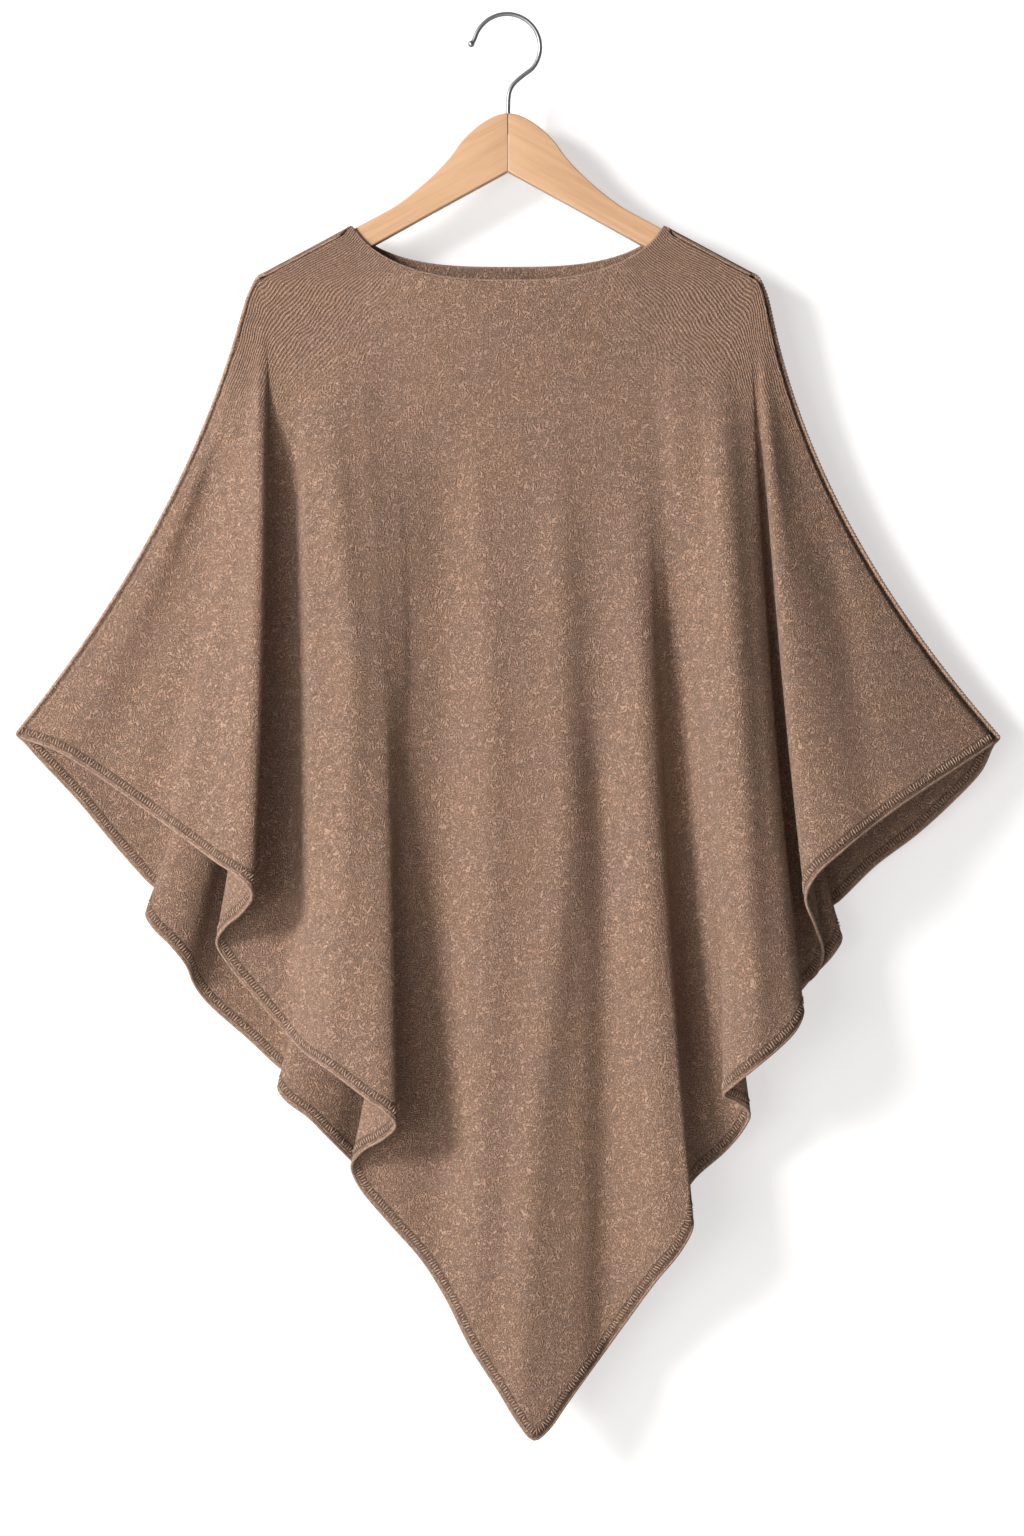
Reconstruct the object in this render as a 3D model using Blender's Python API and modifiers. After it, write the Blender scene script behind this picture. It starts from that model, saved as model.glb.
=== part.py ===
"""A knitted poncho hung on a flat wooden clothes hanger.

Metres, +Z up, the front of the garment towards -Y. The origin is the underside of the hook's
crown, where a peg or a rail bears. The poncho is two knitted panels, front and back, joined
over the shoulders and down both sides, open at the neck and all round the pointed hem.

The tables are in millimetres. Each of their rows is one section of a panel, a line that runs
from the shoulders or the neck down to the hem, and gives where that line ends on the hem,
where it passes half-way down, and where it starts on the top edge. Places in them are as seen
from the front, on the hanger's plane; to_depth draws each one in to its own depth.
"""

import math
from collections import namedtuple

import bmesh
import bpy
import numpy as np

MM = 0.001

# The garment
WALL = 2.4 * MM                # thickness of the knit
VIEW_DISTANCE = 3.0            # from the eye to the hanger's plane
EYE_X = 3.6 * MM
EYE_Z = -676.8 * MM
NECK_HALF = 139.5              # half the neck opening, on the shoulder line (mm)
SHOULDER_Z = -188.5            # height of the shoulder line at the neck's corner (mm)
SHOULDER_SLOPE = 0.535         # fall of the shoulder line for each mm outwards
SHOULDER_END = 205.0           # where the sections start to crowd towards the hanger's end (mm)
CROWDING = 0.75                # how near they start there, as a share of their places lower down
END_ROUNDING = 0.07            # share of their length over which they spread, round the hanger's end
END_SECTIONS = 9.0             # width of the back that goes round the hanger's end (mm)
SIDE_TOP = 231.0               # where the side seam leaves the hanger's end (mm)
FRONT_NECK_DROP = 50.0         # depth of each neck edge in the middle (mm)
BACK_NECK_DROP = 38.5
FRONT_NECK_SQUARENESS = 2.6    # how level each neck edge is in the middle
BACK_NECK_SQUARENESS = 3.0
NECK_CORNER_ROUNDING = 0.68    # below 1, the neck edge leaves its corners more steeply
HOLD_BEGINS = 1.5              # how far outside the neck's corner the cloth starts to lie on the arm (mm)
HOLD_FULL = 9.0                # how far outside it lies on it (mm)
STEP_LENGTH = 26.0             # the widest step along the hem (mm)
ROWS = 13                      # steps down each section
ROW_CROWDING = 1.3             # above 1, the steps are shorter near the shoulders
FOLDS_BEGIN = 0.06             # share of a section's length where its folds start to rise
FOLDS_FULL = 0.34              # share of its length where they have risen
FRONT_Y = -8.4                 # depth of the front panel where it lies on the hanger (mm)
BACK_Y = 8.6                   # depth of the back panel there (mm)
FRONT_BOW = 6.0                # how far each panel stands off between the arms (mm)
BACK_BOW = 5.0
FRONT_BELOW = 4.5              # height of the front panel's edge below the outline of the shoulder (mm)
BACK_BELOW = 4.2               # height below it where the back panel starts to hang (mm)
OVER_Y = -7.6                  # depth of the back's edge where it lies over the hanger's front edge (mm)
LIP_Y = -4.0                   # depth of that edge where it goes round the hanger's end (mm)

# How the back goes over the arms: the share of the way from the front edge to the back one, and
# the height below the outline (mm)
OVER_THE_ARM = ((0.0, 2.8), (0.17, 0.8), (0.77, 0.8), (0.97, 2.5))

# The hanger
HANGER_SPAN = 438.0 * MM
ARM_THICKNESS = 12.0 * MM
ARM_EDGE = 1.4 * MM            # rounding of the wood's edges
ARM_GAP = 0.15 * MM            # each arm stops this short of the middle joint
CROWN_Z = -88.5 * MM           # top of the wood
APEX_Z = -140.5 * MM           # underside of the wood at the middle joint
WIRE = 1.9 * MM                # radius of the hook's wire
HOOK_RADIUS = 30.0 * MM        # to the wire's middle
STEM_DEPTH = 18.0 * MM         # how far the stem goes into the wood
STEM_CLEARANCE = 0.3 * MM
BALL = 2.9 * MM                # radius of the ball on the hook's end
SEAT = 0.3 * MM                # gap between pieces that touch

Section = namedtuple("Section", "name hem_x hem_z hem_y mid_x mid_y top_x")

FRONT = [
    Section("left seam", -439.0, -648.5, -3.8, -302.8, -2.6, -228.5),
    Section("left wing", -403.0, -662.0, -12.0, -290.0, -8.0, -227.4),
    Section("left wing middle", -361.0, -688.5, -17.0, -275.0, -8.0, -226.3),
    Section("left wing crease", -316.0, -721.0, -17.0, -258.0, -9.0, -225.2),
    Section("first fold rising", -290.0, -740.0, -32.0, -246.5, -18.0, -224.1),
    Section("first fold", -262.0, -761.0, -51.0, -236.0, -32.0, -223.0),
    Section("first fold crest", -240.0, -776.0, -63.0, -227.0, -42.0, -222.0),
    Section("first fold edge", -230.0, -790.0, -61.0, -221.0, -41.0, -221.0),
    Section("first fold under", -239.0, -806.0, -47.0, -219.5, -31.0, -220.0),
    Section("first fold tuck", -255.0, -820.0, -31.0, -222.0, -21.0, -219.0),
    Section("first valley tuck", -262.0, -834.0, -19.0, -223.0, -14.0, -218.0),
    Section("first valley floor", -252.0, -852.0, -12.0, -218.0, -11.0, -216.0),
    Section("first valley", -224.0, -886.0, -11.0, -206.0, -11.0, -210.0),
    Section("first valley rising", -197.0, -917.0, -18.0, -195.0, -14.0, -200.0),
    Section("second fold face", -182.0, -933.0, -33.0, -184.0, -22.0, -190.0),
    Section("second fold", -158.0, -950.0, -52.0, -167.0, -32.0, -177.0),
    Section("second fold crest", -128.0, -973.0, -64.0, -142.0, -39.0, -160.0),
    Section("second fold shoulder", -110.0, -986.0, -67.0, -126.0, -39.0, -148.0),
    Section("second fold edge", -101.0, -998.0, -62.0, -114.0, -37.0, -140.0),
    Section("second fold under", -112.0, -1010.0, -50.0, -105.0, -33.0, -134.0),
    Section("second fold tuck", -131.0, -1021.0, -37.0, -98.0, -29.0, -129.0),
    Section("second valley tuck", -140.5, -1034.0, -26.0, -92.0, -26.0, -124.0),
    Section("second valley floor", -134.0, -1052.0, -18.0, -83.0, -25.0, -118.0),
    Section("second valley", -107.0, -1085.0, -15.0, -70.0, -26.0, -107.0),
    Section("left of middle", -77.0, -1119.0, -16.0, -54.0, -28.0, -91.0),
    Section("left point side", -55.0, -1154.0, -19.0, -36.0, -30.0, -73.0),
    Section("left of point", -33.0, -1198.0, -24.0, -16.0, -31.0, -51.0),
    Section("left point edge", -8.0, -1237.0, -28.0, 4.0, -32.0, -28.0),
    Section("point left", 10.5, -1267.0, -30.0, 21.0, -33.0, -10.0),
    Section("point", 23.4, -1281.0, -31.0, 33.0, -33.0, 6.0),
    Section("point right", 35.0, -1273.0, -31.0, 45.0, -32.0, 21.0),
    Section("right point edge", 55.0, -1245.0, -28.0, 58.0, -30.0, 38.0),
    Section("right groove", 99.0, -1184.0, -20.0, 86.0, -26.0, 66.0),
    Section("right fold rising", 132.0, -1139.0, -25.0, 108.0, -28.0, 87.0),
    Section("right fold", 155.0, -1111.0, -36.0, 123.0, -31.0, 102.0),
    Section("right fold edge", 166.0, -1089.0, -39.0, 131.0, -30.0, 111.0),
    Section("right fold under", 163.0, -1074.0, -31.0, 136.0, -27.0, 116.0),
    Section("right valley tuck", 159.0, -1060.0, -18.5, 139.5, -23.0, 121.0),
    Section("right valley", 168.0, -1045.0, -7.5, 147.0, -20.5, 127.0),
    Section("third fold foot", 195.0, -1021.0, -6.0, 158.0, -24.0, 133.0),
    Section("third fold lip", 211.0, -1002.0, -9.0, 166.0, -30.0, 140.0),
    Section("third fold lip edge", 217.4, -988.0, -17.0, 173.0, -35.0, 147.0),
    Section("third fold lip under", 208.0, -978.0, -26.0, 179.0, -39.0, 153.0),
    Section("third fold turn", 194.0, -971.0, -38.0, 185.0, -41.0, 160.0),
    Section("third fold", 203.0, -962.0, -50.0, 193.0, -42.0, 168.0),
    Section("third fold crest", 225.0, -944.0, -57.0, 207.0, -42.0, 185.0),
    Section("third fold shoulder", 245.0, -927.0, -58.0, 219.5, -39.0, 202.0),
    Section("third fold side", 259.0, -912.0, -54.0, 228.0, -35.0, 212.0),
    Section("third fold edge", 265.5, -896.0, -44.0, 233.0, -29.0, 216.0),
    Section("third fold tuck", 261.0, -885.0, -29.0, 232.5, -22.0, 216.8),
    Section("slit tuck", 255.0, -878.0, -15.0, 232.0, -15.5, 217.6),
    Section("slit floor", 263.0, -873.0, -5.0, 235.2, -11.0, 218.6),
    Section("slit", 277.0, -862.0, -4.0, 239.9, -11.0, 219.5),
    Section("right wing root", 283.5, -843.0, -13.0, 242.7, -14.0, 220.4),
    Section("right wing turn", 276.0, -817.0, -29.0, 241.9, -19.0, 221.3),
    Section("right wing edge", 268.0, -793.0, -44.0, 240.9, -26.0, 222.2),
    Section("right wing lip", 277.0, -773.0, -53.0, 244.3, -30.0, 223.1),
    Section("right wing crest", 299.0, -752.5, -54.0, 251.1, -29.0, 224.1),
    Section("right wing", 330.0, -727.0, -47.0, 260.5, -22.0, 225.2),
    Section("right wing middle", 364.5, -702.0, -35.0, 271.0, -14.0, 226.3),
    Section("right wing tip", 411.0, -671.5, -17.0, 284.0, -7.0, 227.4),
    Section("right seam", 439.0, -652.5, -3.8, 294.8, -2.6, 228.5),
]

BACK = [
    Section("left seam lip", -442.8, -647.0, -0.8, -307.0, -0.2, -231.0),
    Section("left seam", -437.0, -651.0, 1.4, -301.0, 1.6, -229.6),
    Section("left wing", -421.0, -668.5, 5.0, -293.0, 5.0, -228.4),
    Section("left wing middle", -385.0, -707.0, 13.0, -280.6, 9.0, -227.0),
    Section("left wing lower", -356.0, -742.0, 18.0, -269.7, 13.0, -225.6),
    Section("left wing end", -322.0, -780.0, 19.0, -258.0, 15.0, -223.8),
    Section("first column behind", -309.0, -791.0, 13.0, -250.9, 13.0, -222.2),
    Section("first column turn", -315.0, -798.0, 3.0, -249.2, 10.0, -220.6),
    Section("first column edge", -325.5, -807.0, -4.0, -248.0, 8.0, -218.8),
    Section("first column side", -319.0, -820.0, -10.0, -242.7, 6.0, -216.6),
    Section("first column face", -303.0, -836.0, -11.0, -235.0, 6.0, -214.0),
    Section("first column fall", -289.0, -854.0, -4.0, -229.0, 8.0, -211.0),
    Section("first column root", -282.0, -871.0, 8.0, -223.8, 12.0, -207.0),
    Section("left flat", -270.0, -887.0, 17.0, -215.8, 16.0, -201.0),
    Section("left flat middle", -233.0, -920.0, 23.0, -180.0, 21.0, -190.0),
    Section("left flat end", -205.0, -946.0, 20.0, -165.0, 21.0, -178.0),
    Section("second column behind", -195.0, -953.0, 11.0, -155.0, 18.0, -170.0),
    Section("second column edge", -206.6, -963.0, -2.0, -147.0, 14.0, -163.0),
    Section("second column side", -200.0, -975.0, -10.0, -138.0, 11.0, -153.0),
    Section("second column face", -180.0, -990.0, -12.0, -125.0, 9.0, -141.0),
    Section("second column fall", -161.0, -1009.0, -6.0, -112.0, 11.0, -131.0),
    Section("second column root", -140.0, -1030.0, 8.0, -98.0, 15.0, -124.0),
    Section("left middle", -108.0, -1062.0, 20.0, -80.0, 20.0, -108.0),
    Section("left point side", -66.0, -1110.0, 25.0, -52.0, 24.0, -78.0),
    Section("left of point", -25.0, -1170.0, 19.0, -22.0, 23.0, -45.0),
    Section("point left", 5.0, -1215.0, 15.0, 0.0, 21.0, -20.0),
    Section("point", 19.0, -1228.0, 14.0, 14.0, 21.0, -5.0),
    Section("point right", 33.0, -1214.0, 15.0, 28.0, 21.0, 10.0),
    Section("right of point", 62.0, -1172.0, 20.0, 48.0, 23.0, 34.0),
    Section("right point side", 105.0, -1108.0, 27.0, 78.0, 24.0, 66.0),
    Section("right middle", 140.0, -1055.0, 20.0, 104.0, 20.0, 96.0),
    Section("right groove", 163.0, -1018.0, 7.0, 124.0, 14.0, 118.0),
    Section("right groove floor", 190.0, -975.0, 0.0, 147.0, 12.0, 141.0),
    Section("right swell", 222.0, -930.0, 9.0, 168.0, 16.0, 155.0),
    Section("right swell crest", 250.0, -893.0, 16.0, 188.0, 19.0, 172.0),
    Section("third column fall", 272.0, -866.0, 7.0, 204.0, 14.0, 190.0),
    Section("third column face", 293.0, -843.0, -3.0, 217.0, 9.0, 203.0),
    Section("third column edge", 300.0, -829.0, 0.0, 234.0, 8.0, 209.5),
    Section("third column turn", 291.0, -815.0, 9.0, 236.8, 10.0, 214.0),
    Section("third column behind", 284.0, -806.0, 18.0, 239.0, 14.0, 217.5),
    Section("right wing root", 297.0, -796.0, 23.0, 246.0, 17.0, 221.0),
    Section("right wing end", 330.0, -764.0, 21.0, 257.7, 16.0, 223.6),
    Section("right wing middle", 367.0, -736.0, 15.0, 270.5, 12.0, 225.6),
    Section("right wing", 398.0, -708.0, 9.0, 279.5, 8.0, 227.0),
    Section("right wing tip", 426.0, -678.0, 4.0, 286.5, 5.0, 228.4),
    Section("right seam", 437.0, -655.0, 1.4, 293.5, 1.6, 229.6),
    Section("right seam lip", 442.8, -650.5, -0.8, 299.0, -0.2, 231.0),
]


def clear_scene():
    for obj in list(bpy.data.objects):
        bpy.data.objects.remove(obj, do_unlink=True)


def new_collection(name):
    collection = bpy.data.collections.new(name)
    bpy.context.scene.collection.children.link(collection)
    return collection


def surface_finish(name, colour, roughness, metallic=0.0):
    material = bpy.data.materials.new(name)
    material.use_nodes = True
    shader = material.node_tree.nodes["Principled BSDF"]
    shader.inputs["Base Color"].default_value = (*colour, 1.0)
    shader.inputs["Roughness"].default_value = roughness
    shader.inputs["Metallic"].default_value = metallic
    return material


def smooth_step(low, high, value):
    share = np.clip((np.asarray(value, float) - low) / (high - low), 0.0, 1.0)
    return share * share * (3.0 - 2.0 * share)


def through_rows(rows, steps):
    """Points on a centripetal Catmull-Rom curve through the rows, with steps[i] points from row i."""
    ends = np.vstack([2 * rows[0] - rows[1], rows, 2 * rows[-1] - rows[-2]])
    points = []
    for i, count in enumerate(steps):
        p = ends[i:i + 4]
        gaps = np.linalg.norm(np.diff(p[:, :3], axis=0), axis=1) ** 0.5
        t = np.concatenate([[0.0], np.cumsum(gaps)])
        for k in range(count):
            at = t[1] + (t[2] - t[1]) * k / count
            a = [((t[j + 1] - at) * p[j] + (at - t[j]) * p[j + 1]) / (t[j + 1] - t[j])
                 for j in range(3)]
            b = [((t[j + 2] - at) * a[j] + (at - t[j]) * a[j + 1]) / (t[j + 2] - t[j])
                 for j in range(2)]
            points.append(((t[2] - at) * b[0] + (at - t[1]) * b[1]) / (t[2] - t[1]))
    points.append(rows[-1])
    return np.array(points)


def crowded(x):
    """How far inwards of its place lower down a section starts on the shoulder (mm)."""
    return np.maximum(np.abs(x) - SHOULDER_END, 0.0) * (1.0 - CROWDING)


def shoulder_line(x):
    """Height of the outline over the shoulder where the section that passes x starts (mm)."""
    return SHOULDER_Z - SHOULDER_SLOPE * (np.abs(x) - crowded(x) - NECK_HALF)


def neck_line(x, drop, squareness):
    """Height of a neck edge between its corners (mm)."""
    share = np.clip(np.abs(x) / NECK_HALF, 0.0, 1.0)
    return SHOULDER_Z - drop * (1.0 - share ** squareness) ** NECK_CORNER_ROUNDING


def bow_between_arms(x, reach):
    """How far a panel stands off between the arms (mm)."""
    return reach * np.cos(np.clip(x / NECK_HALF, -1.0, 1.0) * math.pi / 2)


def on_shoulder(x):
    """1 where the top edge lies on the hanger, 0 across the neck."""
    return smooth_step(NECK_HALF + HOLD_BEGINS, NECK_HALF + HOLD_FULL, np.abs(x))


def round_end(x):
    """1 where the section that passes x goes round the hanger's end, 0 where it hangs beside an arm."""
    return smooth_step(SIDE_TOP - END_SECTIONS, SIDE_TOP, np.abs(x))


def to_depth(x, y, z):
    """Moves a place seen on the hanger's plane along the line of sight to its depth. Takes mm, gives m."""
    x, y, z = x * MM, y * MM, z * MM
    nearer = (VIEW_DISTANCE + y) / VIEW_DISTANCE
    return np.stack([EYE_X + (x - EYE_X) * nearer, y, EYE_Z + (z - EYE_Z) * nearer], axis=-1)


def panel_lines(table):
    """The sections with the ones worked out between them, as columns of hem, middle and top."""
    rows = np.array([[s.hem_x, s.hem_z, s.hem_y, s.mid_x, s.mid_y, s.top_x] for s in table])
    lengths = np.linalg.norm(np.diff(rows[:, :3], axis=0), axis=1)
    return through_rows(rows, [max(1, math.ceil(length / STEP_LENGTH)) for length in lengths])


def down_sections(lines, top_y, top_z):
    """A panel's rows: each section as a parabola through its top, middle and hem points.

    Beside the hanger the panel lies on it, and its folds rise below.
    """
    hem_x, hem_z, hem_y, mid_x, mid_y, top_x = lines.T
    grid = []
    for v in np.linspace(0.0, 1.0, ROWS + 1) ** ROW_CROWDING:
        top, middle, hem = (1 - v) * (1 - 2 * v), 4 * v * (1 - v), v * (2 * v - 1)
        x = top * top_x + middle * mid_x + hem * hem_x
        z = (1 - v) * top_z + v * hem_z
        turned = min(v / END_ROUNDING, 1.0)
        x = x - np.sign(x) * crowded(top_x) * (1.0 - math.sqrt(turned * (2.0 - turned)))
        y = top * top_y + middle * mid_y + hem * hem_y
        y = top_y + (y - top_y) * smooth_step(FOLDS_BEGIN, FOLDS_FULL, v)
        grid.append(to_depth(x, y, z))
    return grid


def front_grid():
    """The middle surface of the front panel, row by row."""
    lines = panel_lines(FRONT)
    top_x = lines[:, 5]
    neck = neck_line(top_x, FRONT_NECK_DROP, FRONT_NECK_SQUARENESS)
    edge_z = np.where(np.abs(top_x) < NECK_HALF, neck, shoulder_line(top_x))
    top_y = FRONT_Y - bow_between_arms(top_x, FRONT_BOW)
    return np.array(down_sections(lines, top_y, edge_z - FRONT_BELOW * on_shoulder(top_x)))


def back_grid():
    """The middle surface of the back panel, which also goes over the hanger to meet the front's edge."""
    lines = panel_lines(BACK)
    top_x = lines[:, 5]
    start = np.abs(top_x) - crowded(top_x)
    ended = round_end(top_x)
    held = on_shoulder(top_x) * (1.0 - ended)
    neck = neck_line(top_x, BACK_NECK_DROP, BACK_NECK_SQUARENESS)
    edge_z = np.where(np.abs(top_x) < NECK_HALF, neck, shoulder_line(top_x))
    top_y = BACK_Y + (LIP_Y - BACK_Y) * ended + bow_between_arms(top_x, BACK_BOW)
    over = []
    for row, (share, below) in enumerate(OVER_THE_ARM):
        y = top_y + held * (1 - share) * (OVER_Y - top_y)
        z = edge_z - held ** 4 * below - (1 - held) * row
        over.append(to_depth(np.sign(top_x) * start, y, z))
    return np.array(over + down_sections(lines, top_y, edge_z - BACK_BELOW))


def sheet_object(name, grid, outward, material, collection):
    """A wall of the knit's thickness round the middle surface that the grid gives."""
    rows, columns = grid.shape[:2]
    mesh = bpy.data.meshes.new(name)
    shape = bmesh.new()
    verts = [[shape.verts.new(point) for point in line] for line in grid]
    for i in range(rows - 1):
        for j in range(columns - 1):
            corners = (verts[i][j], verts[i + 1][j], verts[i + 1][j + 1], verts[i][j + 1])
            shape.faces.new(corners if outward < 0 else corners[::-1])
    shape.to_mesh(mesh)
    shape.free()
    mesh.materials.append(material)
    mesh.shade_smooth()
    obj = bpy.data.objects.new(name, mesh)
    collection.objects.link(obj)
    wall = obj.modifiers.new("Wall", "SOLIDIFY")
    wall.thickness = WALL
    wall.offset = 0.0
    return obj


def mesh_from_curve(obj, collection):
    """The curve's solid as a mesh object with its caps welded on."""
    graph = bpy.context.evaluated_depsgraph_get()
    mesh = bpy.data.meshes.new_from_object(obj.evaluated_get(graph))
    shape = bmesh.new()
    shape.from_mesh(mesh)
    bmesh.ops.remove_doubles(shape, verts=shape.verts, dist=1e-6)
    shape.to_mesh(mesh)
    shape.free()
    solid = bpy.data.objects.new(obj.name + "_solid", mesh)
    solid.matrix_world = obj.matrix_world.copy()
    collection.objects.link(solid)
    name = obj.name
    bpy.data.objects.remove(obj, do_unlink=True)
    solid.name = name
    return solid


def arm_outline(side):
    """Bezier points of one arm's outline from the middle joint outwards and back, as point, handles."""
    end_x = HANGER_SPAN / 2
    points = [
        ((ARM_GAP, CROWN_Z), (ARM_GAP, CROWN_Z - 5 * MM), (17 * MM, CROWN_Z)),
        ((47 * MM, -121 * MM), (38 * MM, -107 * MM), (58 * MM, -138 * MM)),
        ((104 * MM, -173.7 * MM), (86 * MM, -162 * MM), (121 * MM, -183.3 * MM)),
        ((end_x - 14 * MM, -227.8 * MM), (end_x - 34 * MM, -217.4 * MM), (end_x - 6 * MM, -232 * MM)),
        ((end_x, -245 * MM), (end_x, -239 * MM), (end_x, -250.5 * MM)),
        ((end_x - 10 * MM, -255.5 * MM), (end_x - 5 * MM, -257.5 * MM), (end_x - 20 * MM, -250.5 * MM)),
        ((ARM_GAP, APEX_Z), (60 * MM, -173 * MM), (ARM_GAP, APEX_Z + 5 * MM)),
    ]
    return [[(side * x, z) for x, z in point] for point in points]


def hanger_arm(name, side, material, collection, hole):
    """One arm of the hanger, sawn from a flat board with its edges rounded."""
    curve = bpy.data.curves.new(name, "CURVE")
    curve.dimensions = "2D"
    curve.fill_mode = "BOTH"
    curve.resolution_u = 7
    curve.bevel_depth = ARM_EDGE
    curve.bevel_resolution = 1
    curve.offset = -ARM_EDGE
    curve.extrude = ARM_THICKNESS / 2 - ARM_EDGE
    spline = curve.splines.new("BEZIER")
    outline = arm_outline(side)
    spline.bezier_points.add(len(outline) - 1)
    for point, (place, left, right) in zip(spline.bezier_points, outline):
        point.co = (*place, 0.0)
        point.handle_left = (*left, 0.0)
        point.handle_right = (*right, 0.0)
    spline.use_cyclic_u = True
    arm = bpy.data.objects.new(name, curve)
    arm.rotation_euler = (math.pi / 2, 0.0, 0.0)
    collection.objects.link(arm)
    bpy.context.view_layer.update()
    arm = mesh_from_curve(arm, collection)
    arm.data.materials.clear()
    arm.data.materials.append(material)
    drilled = arm.modifiers.new("Stem hole", "BOOLEAN")
    drilled.operation = "DIFFERENCE"
    drilled.object = hole
    return arm


def stem_hole(collection):
    """The drill that cuts the stem's hole into both arms."""
    bpy.ops.mesh.primitive_cylinder_add(
        vertices=16, radius=WIRE + STEM_CLEARANCE, depth=STEM_DEPTH + SEAT + 10 * MM,
        location=(0.0, 0.0, CROWN_Z - (STEM_DEPTH + SEAT) / 2 + 5 * MM))
    drill = bpy.context.active_object
    drill.name = "stem_drill"
    for old in list(drill.users_collection):
        old.objects.unlink(drill)
    collection.objects.link(drill)
    drill.hide_render = True
    drill.display_type = "WIRE"
    return drill


def hook_path():
    """The middle of the hook's wire, from the stem's foot to its free end, on the hanger's plane."""
    centre = np.array([-1.0 * MM, WIRE - HOOK_RADIUS])
    path = [(0.0, CROWN_Z - STEM_DEPTH), (0.0, CROWN_Z - STEM_DEPTH / 2), (0.0, CROWN_Z)]
    path += [(0.2 * MM, -76 * MM), (0.8 * MM, -70 * MM), (2.6 * MM, -64.5 * MM),
             (6.2 * MM, -59.8 * MM), (11.0 * MM, -55.6 * MM), (16.2 * MM, -51.6 * MM)]
    for angle in np.radians(np.arange(-42.0, 163.0, 8.5)):
        path.append(tuple(centre + HOOK_RADIUS * np.array([math.cos(angle), math.sin(angle)])))
    path += [(-30.6 * MM, -22.4 * MM), (-33.0 * MM, -25.2 * MM)]
    return path


def hook(name, material, collection):
    """The steel hook: one bent wire with a small ball on its end."""
    curve = bpy.data.curves.new(name, "CURVE")
    curve.dimensions = "3D"
    curve.bevel_depth = WIRE
    curve.bevel_resolution = 2
    curve.use_fill_caps = True
    spline = curve.splines.new("POLY")
    path = hook_path()
    spline.points.add(len(path) - 1)
    for point, (x, z) in zip(spline.points, path):
        point.co = (x, 0.0, z, 1.0)
    wire = bpy.data.objects.new(name, curve)
    collection.objects.link(wire)
    bpy.context.view_layer.update()
    wire = mesh_from_curve(wire, collection)
    wire.data.materials.clear()
    wire.data.materials.append(material)
    wire.data.shade_smooth()
    return wire, path[-1]


def ball_end(place, collection):
    """The ball that is joined to the wire's end."""
    bpy.ops.mesh.primitive_uv_sphere_add(segments=14, ring_count=9, radius=BALL,
                                         location=(place[0], 0.0, place[1]))
    ball = bpy.context.active_object
    ball.name = "hook_ball"
    for old in list(ball.users_collection):
        old.objects.unlink(ball)
    collection.objects.link(ball)
    ball.hide_render = True
    ball.display_type = "WIRE"
    return ball


def main():
    clear_scene()
    parts = new_collection("poncho_on_hanger")
    cutters = new_collection("cutters")
    knit = surface_finish("knit", (0.27, 0.18, 0.13), 0.95)
    wood = surface_finish("wood", (0.80, 0.52, 0.31), 0.45)
    steel = surface_finish("steel", (0.60, 0.60, 0.61), 0.2, 1.0)

    drill = stem_hole(cutters)
    hanger_arm("hanger_arm_left", -1, wood, parts, drill)
    hanger_arm("hanger_arm_right", 1, wood, parts, drill)
    wire, end = hook("hanger_hook", steel, parts)
    joined = wire.modifiers.new("Ball", "BOOLEAN")
    joined.operation = "UNION"
    joined.object = ball_end(end, cutters)

    sheet_object("front_panel", front_grid(), -1, knit, parts)
    sheet_object("back_panel", back_grid(), 1, knit, parts)


main()
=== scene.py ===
"""A brown heathered knit poncho on its wooden hanger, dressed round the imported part.

Metres, +Z up, the front of the garment towards -Y. The origin is under the crown of the hanger's
hook. The cloth's tables are in millimetres, with their places as seen from the front on the
hanger's plane, as in the part's source. Each is one section of a panel, from the shoulders or
the neck down to the hem.
"""

import logging
import math
from dataclasses import dataclass, field
from enum import Enum
from typing import Callable, Sequence

import bmesh
import bpy
import numpy as np
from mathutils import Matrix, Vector

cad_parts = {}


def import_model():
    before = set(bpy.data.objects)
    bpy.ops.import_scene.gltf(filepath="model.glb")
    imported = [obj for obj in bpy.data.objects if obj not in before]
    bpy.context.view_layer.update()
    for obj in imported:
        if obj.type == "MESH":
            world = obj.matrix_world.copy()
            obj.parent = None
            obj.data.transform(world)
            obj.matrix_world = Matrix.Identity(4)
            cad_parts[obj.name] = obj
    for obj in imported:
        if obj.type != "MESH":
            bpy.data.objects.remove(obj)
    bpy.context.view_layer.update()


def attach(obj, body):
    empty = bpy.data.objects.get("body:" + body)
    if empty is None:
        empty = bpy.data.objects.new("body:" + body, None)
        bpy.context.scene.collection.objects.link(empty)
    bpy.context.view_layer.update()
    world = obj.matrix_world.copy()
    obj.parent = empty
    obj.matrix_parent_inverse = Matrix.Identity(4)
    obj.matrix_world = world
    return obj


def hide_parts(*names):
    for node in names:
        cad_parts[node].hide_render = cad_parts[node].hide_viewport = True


LOG = logging.getLogger("poncho")
MM = 0.001
Grid = np.ndarray
Pair = tuple[float, float]
Colour = tuple[float, float, float]
Place = tuple[float, float, float]
Socket = bpy.types.NodeSocket


@dataclass(frozen=True)
class Section:
    """One line down a panel.

    Args:
        name: What that stretch of the cloth is.
        hem_x: Where it ends on the hem, as seen from the front.
        hem_z: The height of that end.
        hem_y: Its depth, with minus towards the viewer.
        mid_x: Where the line passes half-way down.
        mid_y: Its depth there.
        top_x: Where it would leave the shoulder or neck.
    """

    name: str
    hem_x: float
    hem_z: float
    hem_y: float
    mid_x: float
    mid_y: float
    top_x: float


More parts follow.
